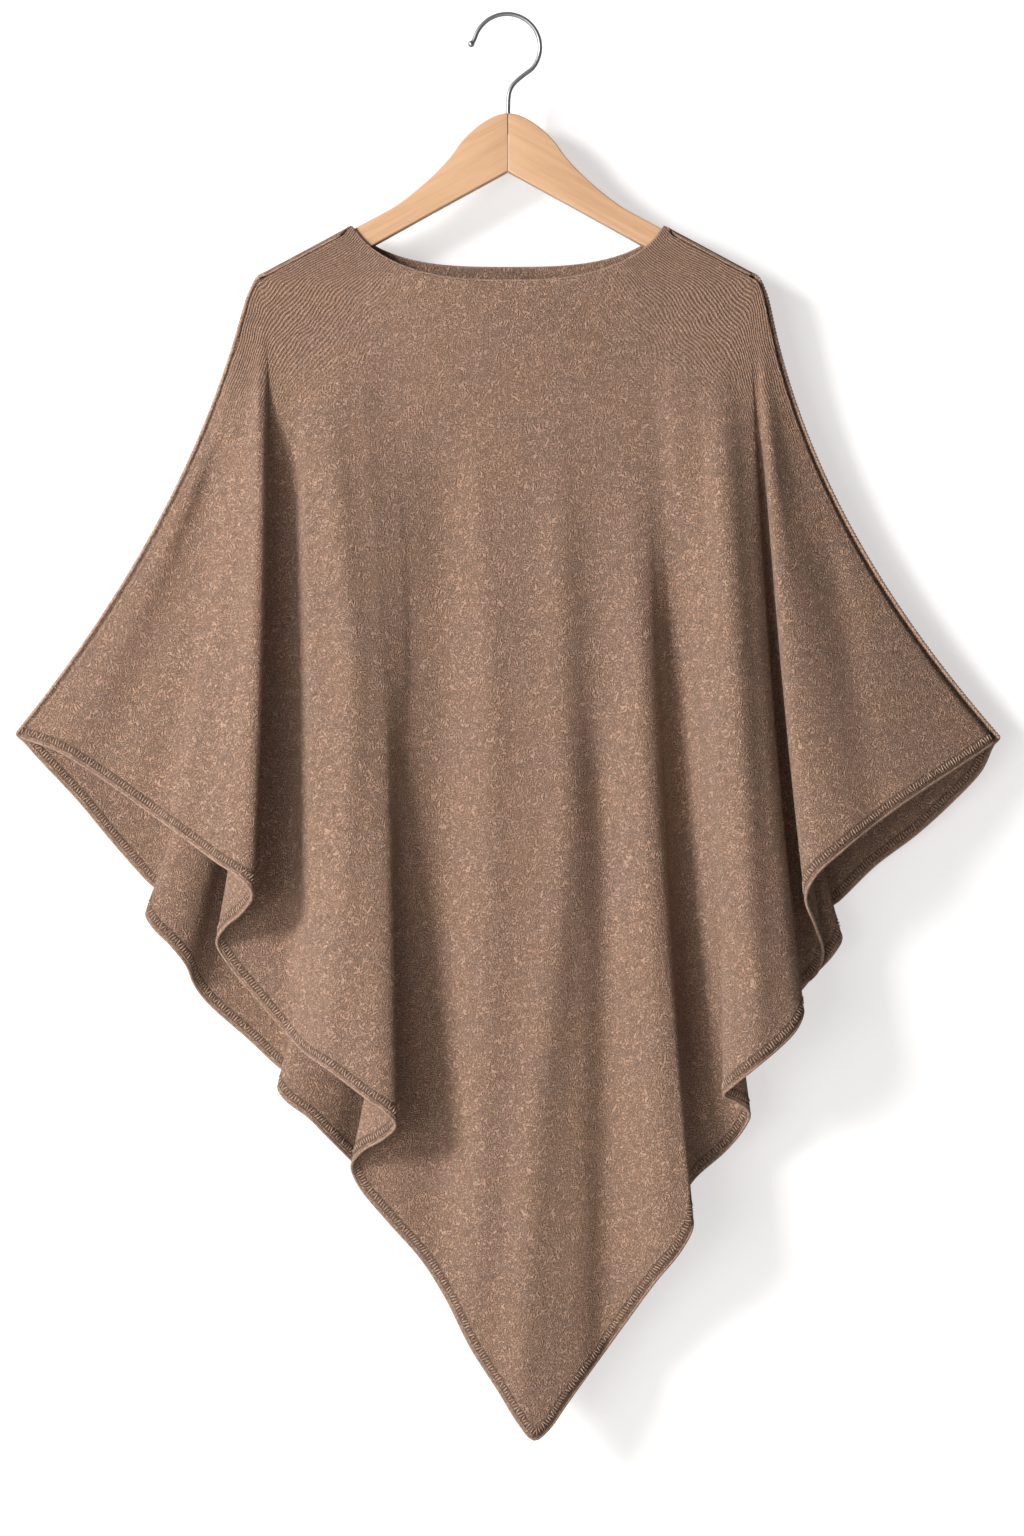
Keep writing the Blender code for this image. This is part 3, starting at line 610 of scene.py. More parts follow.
@dataclass(frozen=True)
class KnitFinish:
    """Brushed fine knit in a heathered brown, with its loops drawn out along the bias, and with shade painted
    into its colour between the yarns and in its pressed lines.

    Args:
        light: Colour of the raised yarn.
        dark: Painted shade between the yarns, a near-black colour where their gaps fall in shadow.
        warm: Colour that the cloth leans to in soft patches.
        cool: Colour that it leans to between them.
        heather: How far it leans to them.
        patches: How many of those patches there are in a metre.
        fleck: Colour of the light hairs in the yarn.
        hairs: How many of those hairs there are in a metre.
        hair_share: How much of their colour shows.
        groove: Painted shade in the overlocked band, in the line over it and in the pressed lines beside the
            seams.
        groove_shade_share: How much of that painted shade shows where the cloth is pressed most.
        tones: Heights over which the colour goes from that painted shade to the raised yarn's colour, as
            shares of the relief.
        slant: Direction of the loops above level, to the right, in degrees.
        loop: Length and spacing of the loops, in metres.
        curls: How many raised strands there are from a loop's middle to its edge.
        warp: Bends of the strands in a metre, and how far they push them, in metres.
        strand: Swing and middle of the strands' height, as shares of the relief.
        course: Distance between the courses near the shoulders, in metres.
        sway: Bends of the courses in a metre, and how far they push them, in metres.
        rib: Swing and middle of the courses' height, as shares of the relief; its low middle also darkens the
            colour by the shoulders.
        fuzz: Hairs in a metre, and their height as a share of the relief.
        relief: Height of the yarn over the gaps, in metres.
        band: Where the overlocked band starts and ends over the hem, in metres.
        seam_groove: Distance of the pressed line from the side seams, in metres.
        depths: How deeply the band, the line over it and the line at the seams are pressed, which sets both
            their bump and how much shade is painted on them.
    """

    light: Colour = (0.475, 0.297, 0.210)
    dark: Colour = (0.085, 0.043, 0.028)
    warm: Colour = (0.320, 0.188, 0.118)
    cool: Colour = (0.265, 0.168, 0.126)
    heather: float = 0.28
    patches: float = 21.0
    fleck: Colour = (0.60, 0.46, 0.37)
    hairs: float = 640.0
    hair_share: float = 0.35
    groove: Colour = (0.075, 0.042, 0.027)
    groove_shade_share: float = 0.9
    tones: Pair = (0.12, 1.30)
    slant: float = 42.0
    loop: Pair = (2.8 * MM, 1.65 * MM)
    curls: float = 3.0
    warp: Pair = (110.0, 6.0 * MM)
    strand: Pair = (0.47, 0.52)
    course: float = 2.0 * MM
    sway: Pair = (38.0, 6.0 * MM)
    rib: Pair = (0.55, 0.16)
    fuzz: Pair = (1500.0, 0.75)
    relief: float = 1.0 * MM
    band: Pair = (2.6 * MM, 9.6 * MM)
    seam_groove: float = 3.7 * MM
    depths: tuple[float, float, float] = (0.75, 0.35, 0.2)

    def line_at(self, nodes: Nodes, distance: Socket, place: float) -> Socket:
        """1 on the line where distance is place, and 0 on either side of it."""
        away = nodes.math("ABSOLUTE", nodes.math("SUBTRACT", distance, place))
        return nodes.math("SUBTRACT", 1.0, nodes.ramp(away, 0.1 * MM, 0.8 * MM))

    def height(self, nodes: Nodes, place: Socket) -> Socket:
        """The yarn's height: curled loops along the slant, and plain courses by the shoulders.

        Args:
            nodes: The material's node helper.
            place: The place on the cloth.

        Returns:
            The height, from about 0 to 1.
        """
        bends, push = self.warp
        pushed = nodes.vector_math("MULTIPLY_ADD", nodes.noise(place, bends, 0.0).outputs["Color"],
                                   (push, push, push), place)
        turned = nodes.mapping(pushed, Rotation=(0.0, math.radians(self.slant), 0.0))
        drawn = nodes.mapping(turned, Scale=(1 / self.loop[0], 1 / self.loop[1], 1 / self.loop[1]))
        loops = nodes.noise(drawn, 1.0, 0.0).outputs["Fac"]
        strands = nodes.math("SINE", nodes.math("MULTIPLY", loops, 2 * math.pi * self.curls))
        ridge = nodes.math("MULTIPLY_ADD", strands, *self.strand)
        bends, push = self.sway
        swayed = nodes.math("MULTIPLY_ADD", nodes.noise(place, bends, 1.0).outputs["Fac"], push,
                            nodes.attribute("to_seam"))
        wave = nodes.math("SINE", nodes.math("MULTIPLY", swayed, 2 * math.pi / self.course))
        course = nodes.math("MULTIPLY_ADD", wave, *self.rib)
        mixed = nodes.add("ShaderNodeMix", {0: nodes.attribute("ribbed"), 2: ridge, 3: course},
                          data_type="FLOAT").outputs[0]
        hairs, tall = self.fuzz
        return nodes.math("MULTIPLY_ADD", nodes.noise(place, hairs, 0.0).outputs["Fac"], tall, mixed)

    def pressed(self, nodes: Nodes) -> Socket:
        """How deeply the cloth is pressed by the band and by the lines beside the seams, which also sets
        where shade is painted.

        Args:
            nodes: The material's node helper.

        Returns:
            The depth, from 0 to 1.
        """
        to_hem = nodes.attribute("to_hem")
        low, high = self.band
        over = nodes.ramp(to_hem, low - 0.3 * MM, low + 0.3 * MM)
        under = nodes.math("SUBTRACT", 1.0, nodes.ramp(to_hem, high - 0.6 * MM, high))
        marks = (nodes.math("MULTIPLY", over, under), self.line_at(nodes, to_hem, high),
                 self.line_at(nodes, nodes.attribute("to_side"), self.seam_groove))
        band, line, seam = (nodes.math("MULTIPLY", mark, depth) for mark, depth in zip(marks, self.depths))
        return nodes.math("MAXIMUM", band, nodes.math("MAXIMUM", line, seam))

    def material(self, name: str) -> bpy.types.Material:
        """Builds the cloth's material on its places and its attributes.

        Args:
            name: The material's name.

        Returns:
            The material.
        """
        material, nodes, shader = new_material(name)
        place = nodes.place()
        height = self.height(nodes, place)
        cloud = nodes.noise(place, self.patches, 2.0).outputs["Fac"]
        hairs = nodes.noise(place, self.hairs, 0.0).outputs["Fac"]
        # Painted shade: the colour runs from the raised yarn's colour down to near black where the height is
        # low, between the loops and the courses.
        yarn = nodes.blend(nodes.ramp(height, *self.tones), self.dark, self.light)
        tone = nodes.blend(nodes.ramp(cloud, 0.34, 0.66), self.cool, self.warm)
        flecks = nodes.math("MULTIPLY", nodes.ramp(hairs, 0.69, 0.78), self.hair_share)
        flecked = nodes.blend(flecks, nodes.blend(self.heather, yarn, tone), self.fleck)
        pressed = self.pressed(nodes)
        # Painted shade: the colour goes towards the near-black groove colour in the overlocked band and in
        # the pressed lines.
        painted_groove_shade = nodes.math("MULTIPLY", pressed, self.groove_shade_share)
        nodes.feed(shader, {
            "Base Color": nodes.blend(painted_groove_shade, flecked, self.groove),
            "Normal": nodes.bump(nodes.math("SUBTRACT", height, pressed), 1.0, self.relief),
            "Roughness": 0.92,
            "Specular IOR Level": 0.1,
            "Sheen Weight": 0.12,
            "Sheen Roughness": 0.5,
            "Sheen Tint": (0.92, 0.78, 0.66, 1.0),
        })
        return material


@dataclass(frozen=True)
class ThreadFinish:
    """Spun sewing thread and serged edges in the cloth's colour.

    Args:
        light: Colour of the thread where it catches light.
        dark: Colour in its twist.
        twist: Repeats of the mottling in a metre.
    """

    light: Colour = (0.50, 0.34, 0.25)
    dark: Colour = (0.25, 0.155, 0.105)
    twist: float = 500.0

    def material(self, name: str) -> bpy.types.Material:
        """Builds the thread's material.

        Args:
            name: The material's name.

        Returns:
            The material.
        """
        material, nodes, shader = new_material(name)
        group = shared_group("spun mottle", {"Place": "Vector", "Twist": "Float", "Light": "Color",
                                             "Dark": "Color"}, spun_mottle)
        mottle = nodes.add("ShaderNodeGroup", node_tree=group)
        nodes.feed(mottle, {"Place": nodes.place(), "Twist": self.twist, "Light": (*self.light, 1.0),
                            "Dark": (*self.dark, 1.0)})
        nodes.feed(shader, {
            "Base Color": mottle.outputs["Colour"],
            "Normal": nodes.bump(mottle.outputs["Height"], 0.5, 0.3 * MM),
            "Roughness": 0.85,
            "Specular IOR Level": 0.2,
            "Sheen Weight": 0.2,
        })
        return material


@dataclass(frozen=True)
class WoodFinish:
    """Pale satin-varnished wood with fine grain along its length.

    Args:
        light: Colour between the grain lines.
        dark: Colour of the grain lines.
        slope: Fall of the arm for each metre outwards, which the grain follows.
        joint: How far the rounded edges at the middle joint reach, in metres.
        joint_turn: Share of their turn that the varnish in the joint leaves to be seen.
    """

    light: Colour = (0.61, 0.370, 0.215)
    dark: Colour = (0.50, 0.280, 0.150)
    slope: float = 0.55
    joint: Pair = (1.6 * MM, 1.8 * MM)
    joint_turn: float = 0.12

    def filled_joint(self, nodes: Nodes, place: Socket) -> Socket:
        """Normals that lie nearly flat over the rounded edges at the middle joint.

        Args:
            nodes: The material's node helper.
            place: The place on the arm.

        Returns:
            The normals.
        """
        across = nodes.add("ShaderNodeSeparateXYZ", {0: place}).outputs["X"]
        beside = nodes.ramp(nodes.math("ABSOLUTE", across), *self.joint)
        share = nodes.add("ShaderNodeCombineXYZ", {
            "X": nodes.math("MAXIMUM", beside, self.joint_turn), "Y": 1.0, "Z": 1.0})
        normal = nodes.add("ShaderNodeNewGeometry").outputs["Normal"]
        return nodes.vector_math("NORMALIZE", nodes.vector_math("MULTIPLY", normal, share.outputs[0]))

    def material(self, name: str, side: int) -> bpy.types.Material:
        """Builds the wood's material for the arm on that side, -1 or 1.

        Args:
            name: The material's name.
            side: -1 for the left arm or 1 for the right.

        Returns:
            The material.
        """
        material, nodes, shader = new_material(name)
        place = nodes.place()
        turned = nodes.mapping(place, Rotation=(0.0, -side * math.atan(self.slope), 0.0))
        group = shared_group("wood grain", {"Place": "Vector", "Light": "Color", "Dark": "Color"}, wood_grain)
        grain = nodes.add("ShaderNodeGroup", node_tree=group)
        nodes.feed(grain, {"Place": turned, "Light": (*self.light, 1.0), "Dark": (*self.dark, 1.0)})
        nodes.feed(shader, {
            "Base Color": grain.outputs["Colour"],
            "Normal": nodes.bump(grain.outputs["Height"], 0.12, 0.2 * MM,
                                 Normal=self.filled_joint(nodes, place)),
            "Roughness": 0.42,
            "Coat Weight": 0.25,
            "Coat Roughness": 0.28,
        })
        return material


@dataclass(frozen=True)
class SteelFinish:
    """Polished steel wire with faint drawing marks.

    Args:
        colour: The metal's colour.
        roughness: How blurred its reflections are.
    """

    colour: Colour = (0.31, 0.305, 0.31)
    roughness: float = 0.42

    def material(self, name: str) -> bpy.types.Material:
        """Builds the steel's material.

        Args:
            name: The material's name.

        Returns:
            The material.
        """
        material, nodes, shader = new_material(name)
        marks = nodes.noise(nodes.place(), 700.0, 2.0).outputs["Fac"]
        nodes.feed(shader, {
            "Roughness": nodes.math("MULTIPLY_ADD", marks, 0.12, self.roughness - 0.05),
            "Base Color": (*self.colour, 1.0),
            "Metallic": 1.0,
        })
        return material


@dataclass(frozen=True)
class PlainFinish:
    """A plain matt surface for the stage.

    Args:
        colour: Its colour.
        seen_through: Whether it is clear from behind and keeps no light off the back.
        glow: How much of its own light the camera sees on it, which lightens its shadows.
    """

    colour: Colour
    seen_through: bool = False
    glow: float = 0.0

    def material(self, name: str) -> bpy.types.Material:
        """Builds the matt material, with its clear back where that is asked for.

        Args:
            name: The material's name.

        Returns:
            The material.
        """
        material, nodes, shader = new_material(name)
        nodes.feed(shader, {"Base Color": (*self.colour, 1.0), "Roughness": 0.95, "Specular IOR Level": 0.0})
        if self.seen_through:
            ray = nodes.add("ShaderNodeLightPath").outputs
            nodes.feed(shader, {"Emission Strength": nodes.math("MULTIPLY", ray["Is Camera Ray"], self.glow),
                                "Emission Color": (1.0, 0.985, 0.98, 1.0)})
            let_by = nodes.math("MAXIMUM", ray["Is Shadow Ray"], ray["Is Diffuse Ray"])
            behind = nodes.add("ShaderNodeNewGeometry").outputs["Backfacing"]
            clear = nodes.add("ShaderNodeBsdfTransparent").outputs[0]
            mix = nodes.add("ShaderNodeMixShader", {
                0: nodes.math("MAXIMUM", let_by, behind), 1: shader.outputs[0], 2: clear})
            nodes.feed(material.node_tree.nodes["Material Output"], {"Surface": mix.outputs[0]})
        return material


@dataclass
class Fit:
    """The sizes that both panels and the hanger share, in millimetres unless stated.

    Args:
        wall: Thickness of the knit.
        view_distance: From the eye to the hanger's plane.
        eye_x: The eye's place across.
        eye_z: The eye's height.
        neck_half: Half the neck opening, on the shoulder line.
        neck_round: Power that rounds the neck's edge towards its corners.
        neck_corner: Beyond the neck's corners, where the edge starts to lie on the hanger, and lies on it.
        shoulder_z: Height of the shoulder line at the neck's corner.
        shoulder_slope: Fall of that line for each millimetre outwards.
        shoulder_end: Where the sections start to crowd towards the hanger's end.
        crowding: How near they start there, as a share of their places lower down.
        end_rounding: Share of their length over which they spread again.
        end_sections: Width of the back that goes round the hanger's end.
        side_top: Where the side seam leaves the hanger's end.
        row_crowding: Above 1, the steps are shorter near the shoulders.
        folds_begin: Share of a section's length where its folds start to rise.
        folds_full: Share where they have risen.
    """

    wall: float = 2.4
    view_distance: float = 3000.0
    eye_x: float = 3.6
    eye_z: float = -676.8
    neck_half: float = 139.5
    neck_round: float = 0.68
    neck_corner: Pair = (1.5, 9.0)
    shoulder_z: float = -188.5
    shoulder_slope: float = 0.535
    shoulder_end: float = 205.0
    crowding: float = 0.75
    end_rounding: float = 0.07
    end_sections: float = 9.0
    side_top: float = 231.0
    row_crowding: float = 1.3
    folds_begin: float = 0.06
    folds_full: float = 0.34

    def crowded(self, x: Grid) -> Grid:
        """How far inwards of its place lower down a section starts on the shoulder."""
        return np.maximum(np.abs(x) - self.shoulder_end, 0.0) * (1.0 - self.crowding)

    def shoulder_line(self, x: Grid) -> Grid:
        """Height of the outline over the shoulder where the section that passes x starts."""
        out = np.abs(x) - self.crowded(x) - self.neck_half
        return self.shoulder_z - self.shoulder_slope * out

    def neck_line(self, x: Grid, drop: float, squareness: float) -> Grid:
        """Height of a neck edge between its corners."""
        share = np.clip(np.abs(x) / self.neck_half, 0.0, 1.0)
        return self.shoulder_z - drop * (1.0 - share ** squareness) ** self.neck_round

    def on_shoulder(self, x: Grid) -> Grid:
        """1 where the top edge lies on the hanger, 0 across the neck."""
        starts, lies = self.neck_corner
        return smooth_step(self.neck_half + starts, self.neck_half + lies, np.abs(x))

    def round_end(self, x: Grid) -> Grid:
        """1 where the section that passes x goes round the hanger's end, 0 beside an arm."""
        return smooth_step(self.side_top - self.end_sections, self.side_top, np.abs(x))

    def to_depth(self, x: Grid, y: Grid, z: Grid) -> Grid:
        """Moves places seen on the hanger's plane along the line of sight to their depth.

        Args:
            x: Places across, in millimetres.
            y: Depths, in millimetres.
            z: Heights, in millimetres.

        Returns:
            The points, in metres.
        """
        nearer = (self.view_distance + y) / self.view_distance
        seen = [self.eye_x + (x - self.eye_x) * nearer, y, self.eye_z + (z - self.eye_z) * nearer]
        return np.stack(np.broadcast_arrays(*seen), axis=-1) * MM


class Face(Enum):
    """Which panel of the poncho a piece belongs to."""

    FRONT = -1
    BACK = 1


@dataclass
class Panel:
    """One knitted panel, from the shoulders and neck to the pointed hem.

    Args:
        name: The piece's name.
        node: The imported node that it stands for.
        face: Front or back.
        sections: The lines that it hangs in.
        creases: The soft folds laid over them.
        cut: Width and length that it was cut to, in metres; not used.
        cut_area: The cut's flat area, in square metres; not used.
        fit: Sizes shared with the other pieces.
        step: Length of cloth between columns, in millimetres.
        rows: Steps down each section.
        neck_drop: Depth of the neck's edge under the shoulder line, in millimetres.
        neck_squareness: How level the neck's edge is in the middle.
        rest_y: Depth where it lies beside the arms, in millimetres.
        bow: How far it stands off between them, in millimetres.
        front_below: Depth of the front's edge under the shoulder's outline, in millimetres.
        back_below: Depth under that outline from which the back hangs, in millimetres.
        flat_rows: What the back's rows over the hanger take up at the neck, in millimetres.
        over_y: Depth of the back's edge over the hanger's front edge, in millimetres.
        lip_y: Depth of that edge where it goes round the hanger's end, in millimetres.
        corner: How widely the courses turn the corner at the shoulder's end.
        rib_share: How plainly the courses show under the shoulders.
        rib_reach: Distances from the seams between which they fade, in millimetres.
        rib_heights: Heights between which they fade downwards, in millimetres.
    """

    name: str
    node: str
    face: Face
    sections: Sequence[Section]
    creases: Sequence[Crease]
    cut: Pair
    cut_area: float
    fit: Fit = field(default_factory=Fit)
    step: float = 6.5
    rows: int = 104
    neck_drop: float = 50.0
    neck_squareness: float = 2.6
    rest_y: float = -8.4
    bow: float = 6.0
    front_below: float = 4.5
    back_below: float = 4.2
    flat_rows: float = 4.0
    over_y: float = -7.6
    lip_y: float = -4.0
    corner: float = 1.4
    rib_share: float = 0.66
    rib_reach: Pair = (20.0, 105.0)
    rib_heights: Pair = (-430.0, -290.0)

    def lines(self) -> Grid:
        """The sections with the ones between them, and each one's place in the table.

        Returns:
            One row for each line: hem_x, hem_z, hem_y, mid_x, mid_y, top_x and that place.
        """
        rows = np.array([[s.hem_x, s.hem_z, s.hem_y, s.mid_x, s.mid_y, s.top_x, place]
                         for place, s in enumerate(self.sections)])
        lengths = np.linalg.norm(np.diff(rows[:, :3], axis=0), axis=1)
        return through_rows(rows, [max(3, math.ceil(length / self.step)) for length in lengths])

    def tops(self) -> Grid:
        """Where each column would leave the shoulder or neck, in millimetres."""
        return self.lines()[:, 5]

    def creased(self, x: Grid, z: Grid, place: Grid) -> Grid:
        """How far the creases move the cloth back at these places, in millimetres.

        Args:
            x: Places across, as seen from the front.
            z: Their heights.
            place: Their places in the table of sections.

        Returns:
            One movement per place.
        """
        names = [section.name for section in self.sections]
        moved = np.zeros_like(x)
        for crease in self.creases:
            first, last = (names.index(name) for name in crease.between)
            after = smooth_step(first - 0.5, first + 0.5, place)
            before = 1.0 - smooth_step(last - 0.5, last + 0.5, place)
            moved -= crease.lifted(x, z) * after * before
        return moved

    def hang(self, lines: Grid, top_y: Grid, top_z: Grid) -> Grid:
        """The rows of the panel below its top edge.

        Args:
            lines: The columns of hem, middle and top places.
            top_y: Each section's depth at its top.
            top_z: Each section's height at its top.

        Returns:
            The rows, from the top to the hem.
        """
        hem_x, hem_z, hem_y, mid_x, mid_y, top_x, place = lines.T
        fit = self.fit
        grid = []
        for v in np.linspace(0.0, 1.0, self.rows + 1) ** fit.row_crowding:
            # Shares of a parabola through the top, the middle and the hem
            top, middle, hem = (1 - v) * (1 - 2 * v), 4 * v * (1 - v), v * (2 * v - 1)
            x = top * top_x + middle * mid_x + hem * hem_x
            z = (1 - v) * top_z + v * hem_z
            turned = min(v / fit.end_rounding, 1.0)
            x = x - np.sign(x) * fit.crowded(top_x) * (1.0 - math.sqrt(turned * (2.0 - turned)))
            y = top * top_y + middle * mid_y + hem * hem_y
            y = top_y + (y - top_y) * smooth_step(fit.folds_begin, fit.folds_full, v)
            y = y + self.creased(x, z, place)
            grid.append(fit.to_depth(x, y, z))
        return np.array(grid)

    def top_edge(self, top_x: Grid) -> tuple[Grid, Grid]:
        """Height of the edge on the shoulders and at the neck, and how far the cloth bows out there.

        Args:
            top_x: Where the columns leave the shoulder or neck.

        Returns:
            The heights and the distances, one of each per column.
        """
        fit = self.fit
        neck = fit.neck_line(top_x, self.neck_drop, self.neck_squareness)
        edge = np.where(np.abs(top_x) < fit.neck_half, neck, fit.shoulder_line(top_x))
        return edge, self.bow * np.cos(np.clip(top_x / fit.neck_half, -1.0, 1.0) * math.pi / 2)

    def front_grid(self) -> Grid:
        """The front's middle surface.

        Returns:
            Its points in metres, row by row.
        """
        edge, away = self.top_edge(self.tops())
        held = self.fit.on_shoulder(self.tops())
        return self.hang(self.lines(), self.rest_y - away, edge - self.front_below * held)

    def back_grid(self) -> Grid:
        """The back's middle surface, which also goes over the hanger to meet the front's edge.

        Returns:
            Its points in metres, row by row.
        """
        top_x = self.tops()
        start = np.abs(top_x) - self.fit.crowded(top_x)
        ended = self.fit.round_end(top_x)
        held = self.fit.on_shoulder(top_x) * (1.0 - ended)
        edge, away = self.top_edge(top_x)
        top_y = self.rest_y + (self.lip_y - self.rest_y) * ended + away
        over = []
        for row, (share, below) in enumerate(OVER_THE_ARM):
            flat_row = row * self.flat_rows / len(OVER_THE_ARM)
            y = top_y + held * (1 - share) * (self.over_y - top_y)
            z = edge - held ** 4 * below - (1 - held) * flat_row
            over.append(self.fit.to_depth(np.sign(top_x) * start, y, z))
        return np.concatenate([np.array(over), self.hang(self.lines(), top_y, edge - self.back_below)])

    def grid(self) -> Grid:
        """The panel's middle surface, in metres, row by row."""
        return self.front_grid() if self.face is Face.FRONT else self.back_grid()

    def build(self, material: bpy.types.Material) -> tuple[bpy.types.Object, Grid]:
        """Makes the panel's shell with its attributes.

        Args:
            material: The knit's material.

        Returns:
            The finished mesh object and the middle surface that it was made from.
        """
        grid = self.grid()
        rows, columns = grid.shape[:2]
        to_seam, to_side = self.from_seams(grid)
        layers = {"to_hem": over_hem(grid), "to_seam": to_seam, "to_side": to_side,
                  "ribbed": self.ribbed(grid, to_seam)}
        shape = bmesh.new()
        kept = {name: shape.verts.layers.float.new(name) for name in layers}
        verts = [[shape.verts.new(place) for place in row] for row in grid]
        for name, layer in kept.items():
            for line, values in zip(verts, layers[name]):
                for vert, value in zip(line, values):
                    vert[layer] = float(value)
        for upper, lower in zip(verts, verts[1:]):
            for j in range(columns - 1):
                corners = [upper[j], lower[j], lower[j + 1], upper[j + 1]]
                shape.faces.new(corners if self.face is Face.FRONT else corners[::-1])
        obj = as_object(self.name, shape, material)
        wall = obj.modifiers.new("Wall", "SOLIDIFY")
        wall.thickness = self.fit.wall * MM
        wall.offset = 0.0
        LOG.info("%s: %d by %d, area %.3f m2", self.name, rows, columns, self.area(grid))
        return settle(obj), grid

    def from_seams(self, grid: Grid) -> tuple[Grid, Grid]:
        """How far each point is from the seams, as seen from the front.

        Args:
            grid: The panel's middle surface.

        Returns:
            The distance from the nearest seam, eased between the shoulder and the side so that
            its lines turn the corner in curves, and the distance from the nearest side seam.
        """
        seen = grid[..., [0, 2]]
        held = np.abs(self.tops()) > self.fit.neck_half
        left, right = (held & (grid[0, :, 0] * side > 0) for side in (-1, 1))
        found = []
        for seams in ((seen[0, left], seen[0, right]), (seen[:, 0], seen[:, -1])):
            nearest = np.full(grid.shape[:2], np.inf)
            for line in seams:
                for start, end in zip(line, line[1:]):
                    step = end - start
                    share = np.clip(((seen - start) @ step) / max(step @ step, 1e-12), 0.0, 1.0)
                    foot = start + share[..., None] * step
                    nearest = np.minimum(nearest, np.linalg.norm(seen - foot, axis=2))
            found.append(nearest)
        nearest = np.minimum(*found)
        reach = np.maximum(self.corner * nearest, 1e-9)
        both = np.maximum(reach - np.abs(found[0] - found[1]), 0.0) / reach
        return nearest - both * both * reach / 4, found[1]

    def ribbed(self, grid: Grid, to_seam: Grid) -> Grid:
        """How plainly the courses show: most under the shoulders, fading downwards.

        Args:
            grid: The panel's middle surface.
            to_seam: Each point's distance from the seams.

        Returns:
            One share per point.
        """
        near, far = self.rib_reach
        low, high = self.rib_heights
        beside = 1.0 - smooth_step(near * MM, far * MM, to_seam)
        return self.rib_share * beside * smooth_step(low, high, grid[..., 2] / MM)

    def area(self, grid: Grid) -> float:
        """The middle surface's area, in square metres.

        Args:
            grid: The middle surface.

        Returns:
            The area.
        """
        down = np.diff(grid, axis=0)[:, :-1]
        across = np.diff(grid, axis=1)[:-1]
        return float(np.linalg.norm(np.cross(down, across), axis=2).sum())


# For each row over the hanger: its share of the way from front to back, and its depth under the
# shoulder's outline in millimetres.
OVER_THE_ARM = (
    (0.00, 2.80), (0.06, 1.75), (0.13, 1.05), (0.22, 0.75), (0.36, 0.66), (0.50, 0.65),
    (0.64, 0.66), (0.78, 0.80), (0.88, 1.25), (0.95, 2.05), (0.99, 3.10),
)


@dataclass
class EdgeRoll:
    """A soft rolled edge, or with ribs a serged one, swept along a line of points.

    Args:
        radius: Its radius, in millimetres.
        ribs: Depth of its diagonal ribs, as a share of the radius.
        rib_length: Distance between ribs, in millimetres.
        step: Distance between its rings, in millimetres.
        sides: Points round each ring.
        rounding: How many times its line is smoothed, which rounds its corners.
        thin: Length of a thinner start, in millimetres, and that part's share of the radius.
        swelling: Length over which it swells to the full radius, in millimetres.
    """

    radius: float = 1.35
    ribs: float = 0.0
    rib_length: float = 2.6
    step: float = 2.0
    sides: int = 8
    rounding: int = 0
    thin: Pair = (0.0, 1.0)
    swelling: float = 20.0

    def build(self, name: str, line: Grid, material: bpy.types.Material) -> bpy.types.Object:
        """Sweeps the roll.

        Args:
            name: The piece's name.
            line: Points along its middle, in metres.
            material: Its material.

        Returns:
            The mesh object.
        """
        length = lengths_along(line)
        count = max(4, int(length[-1] / (self.step * MM)))
        at = np.linspace(0.0, length[-1], count + 1)
        path = read_at(at, length, line)
        for _ in range(self.rounding):
            path[1:-1] = (path[:-2] + 2 * path[1:-1] + path[2:]) / 4
        tangent = np.gradient(path, axis=0)
        tangent /= np.linalg.norm(tangent, axis=1, keepdims=True)
        side = np.cross(tangent, (0.0, 1.0, 0.0))
        side /= np.maximum(np.linalg.norm(side, axis=1, keepdims=True), 1e-9)
        out = np.cross(tangent, side)
        until, share = self.thin
        swollen = smooth_step(until - self.swelling, until + 1.0, at / MM)
        thickness = self.radius * MM * (share + (1 - share) * swollen)
        shape = bmesh.new()
        rings = []
        for i, place in enumerate(path):
            ring = []
            ends = min(1.0, (i + 0.4) / 2.0, (count - i + 0.4) / 2.0)
            for k in range(self.sides):
                angle = 2 * math.pi * k / self.sides
                rib = 1.0 + self.ribs * math.cos(2 * math.pi * at[i] / (self.rib_length * MM) - 2 * angle)
                turned = math.cos(angle) * side[i] + math.sin(angle) * out[i]
                ring.append(shape.verts.new(place + thickness[i] * rib * ends * turned))
            rings.append(ring)
        for a, b in zip(rings, rings[1:]):
            for k in range(self.sides):
                n = (k + 1) % self.sides
                shape.faces.new((a[k], b[k], b[n], a[n]))
        shape.faces.new(rings[0][::-1])
        shape.faces.new(rings[-1])
        bmesh.ops.recalc_face_normals(shape, faces=shape.faces)
        return as_object(name, shape, material)


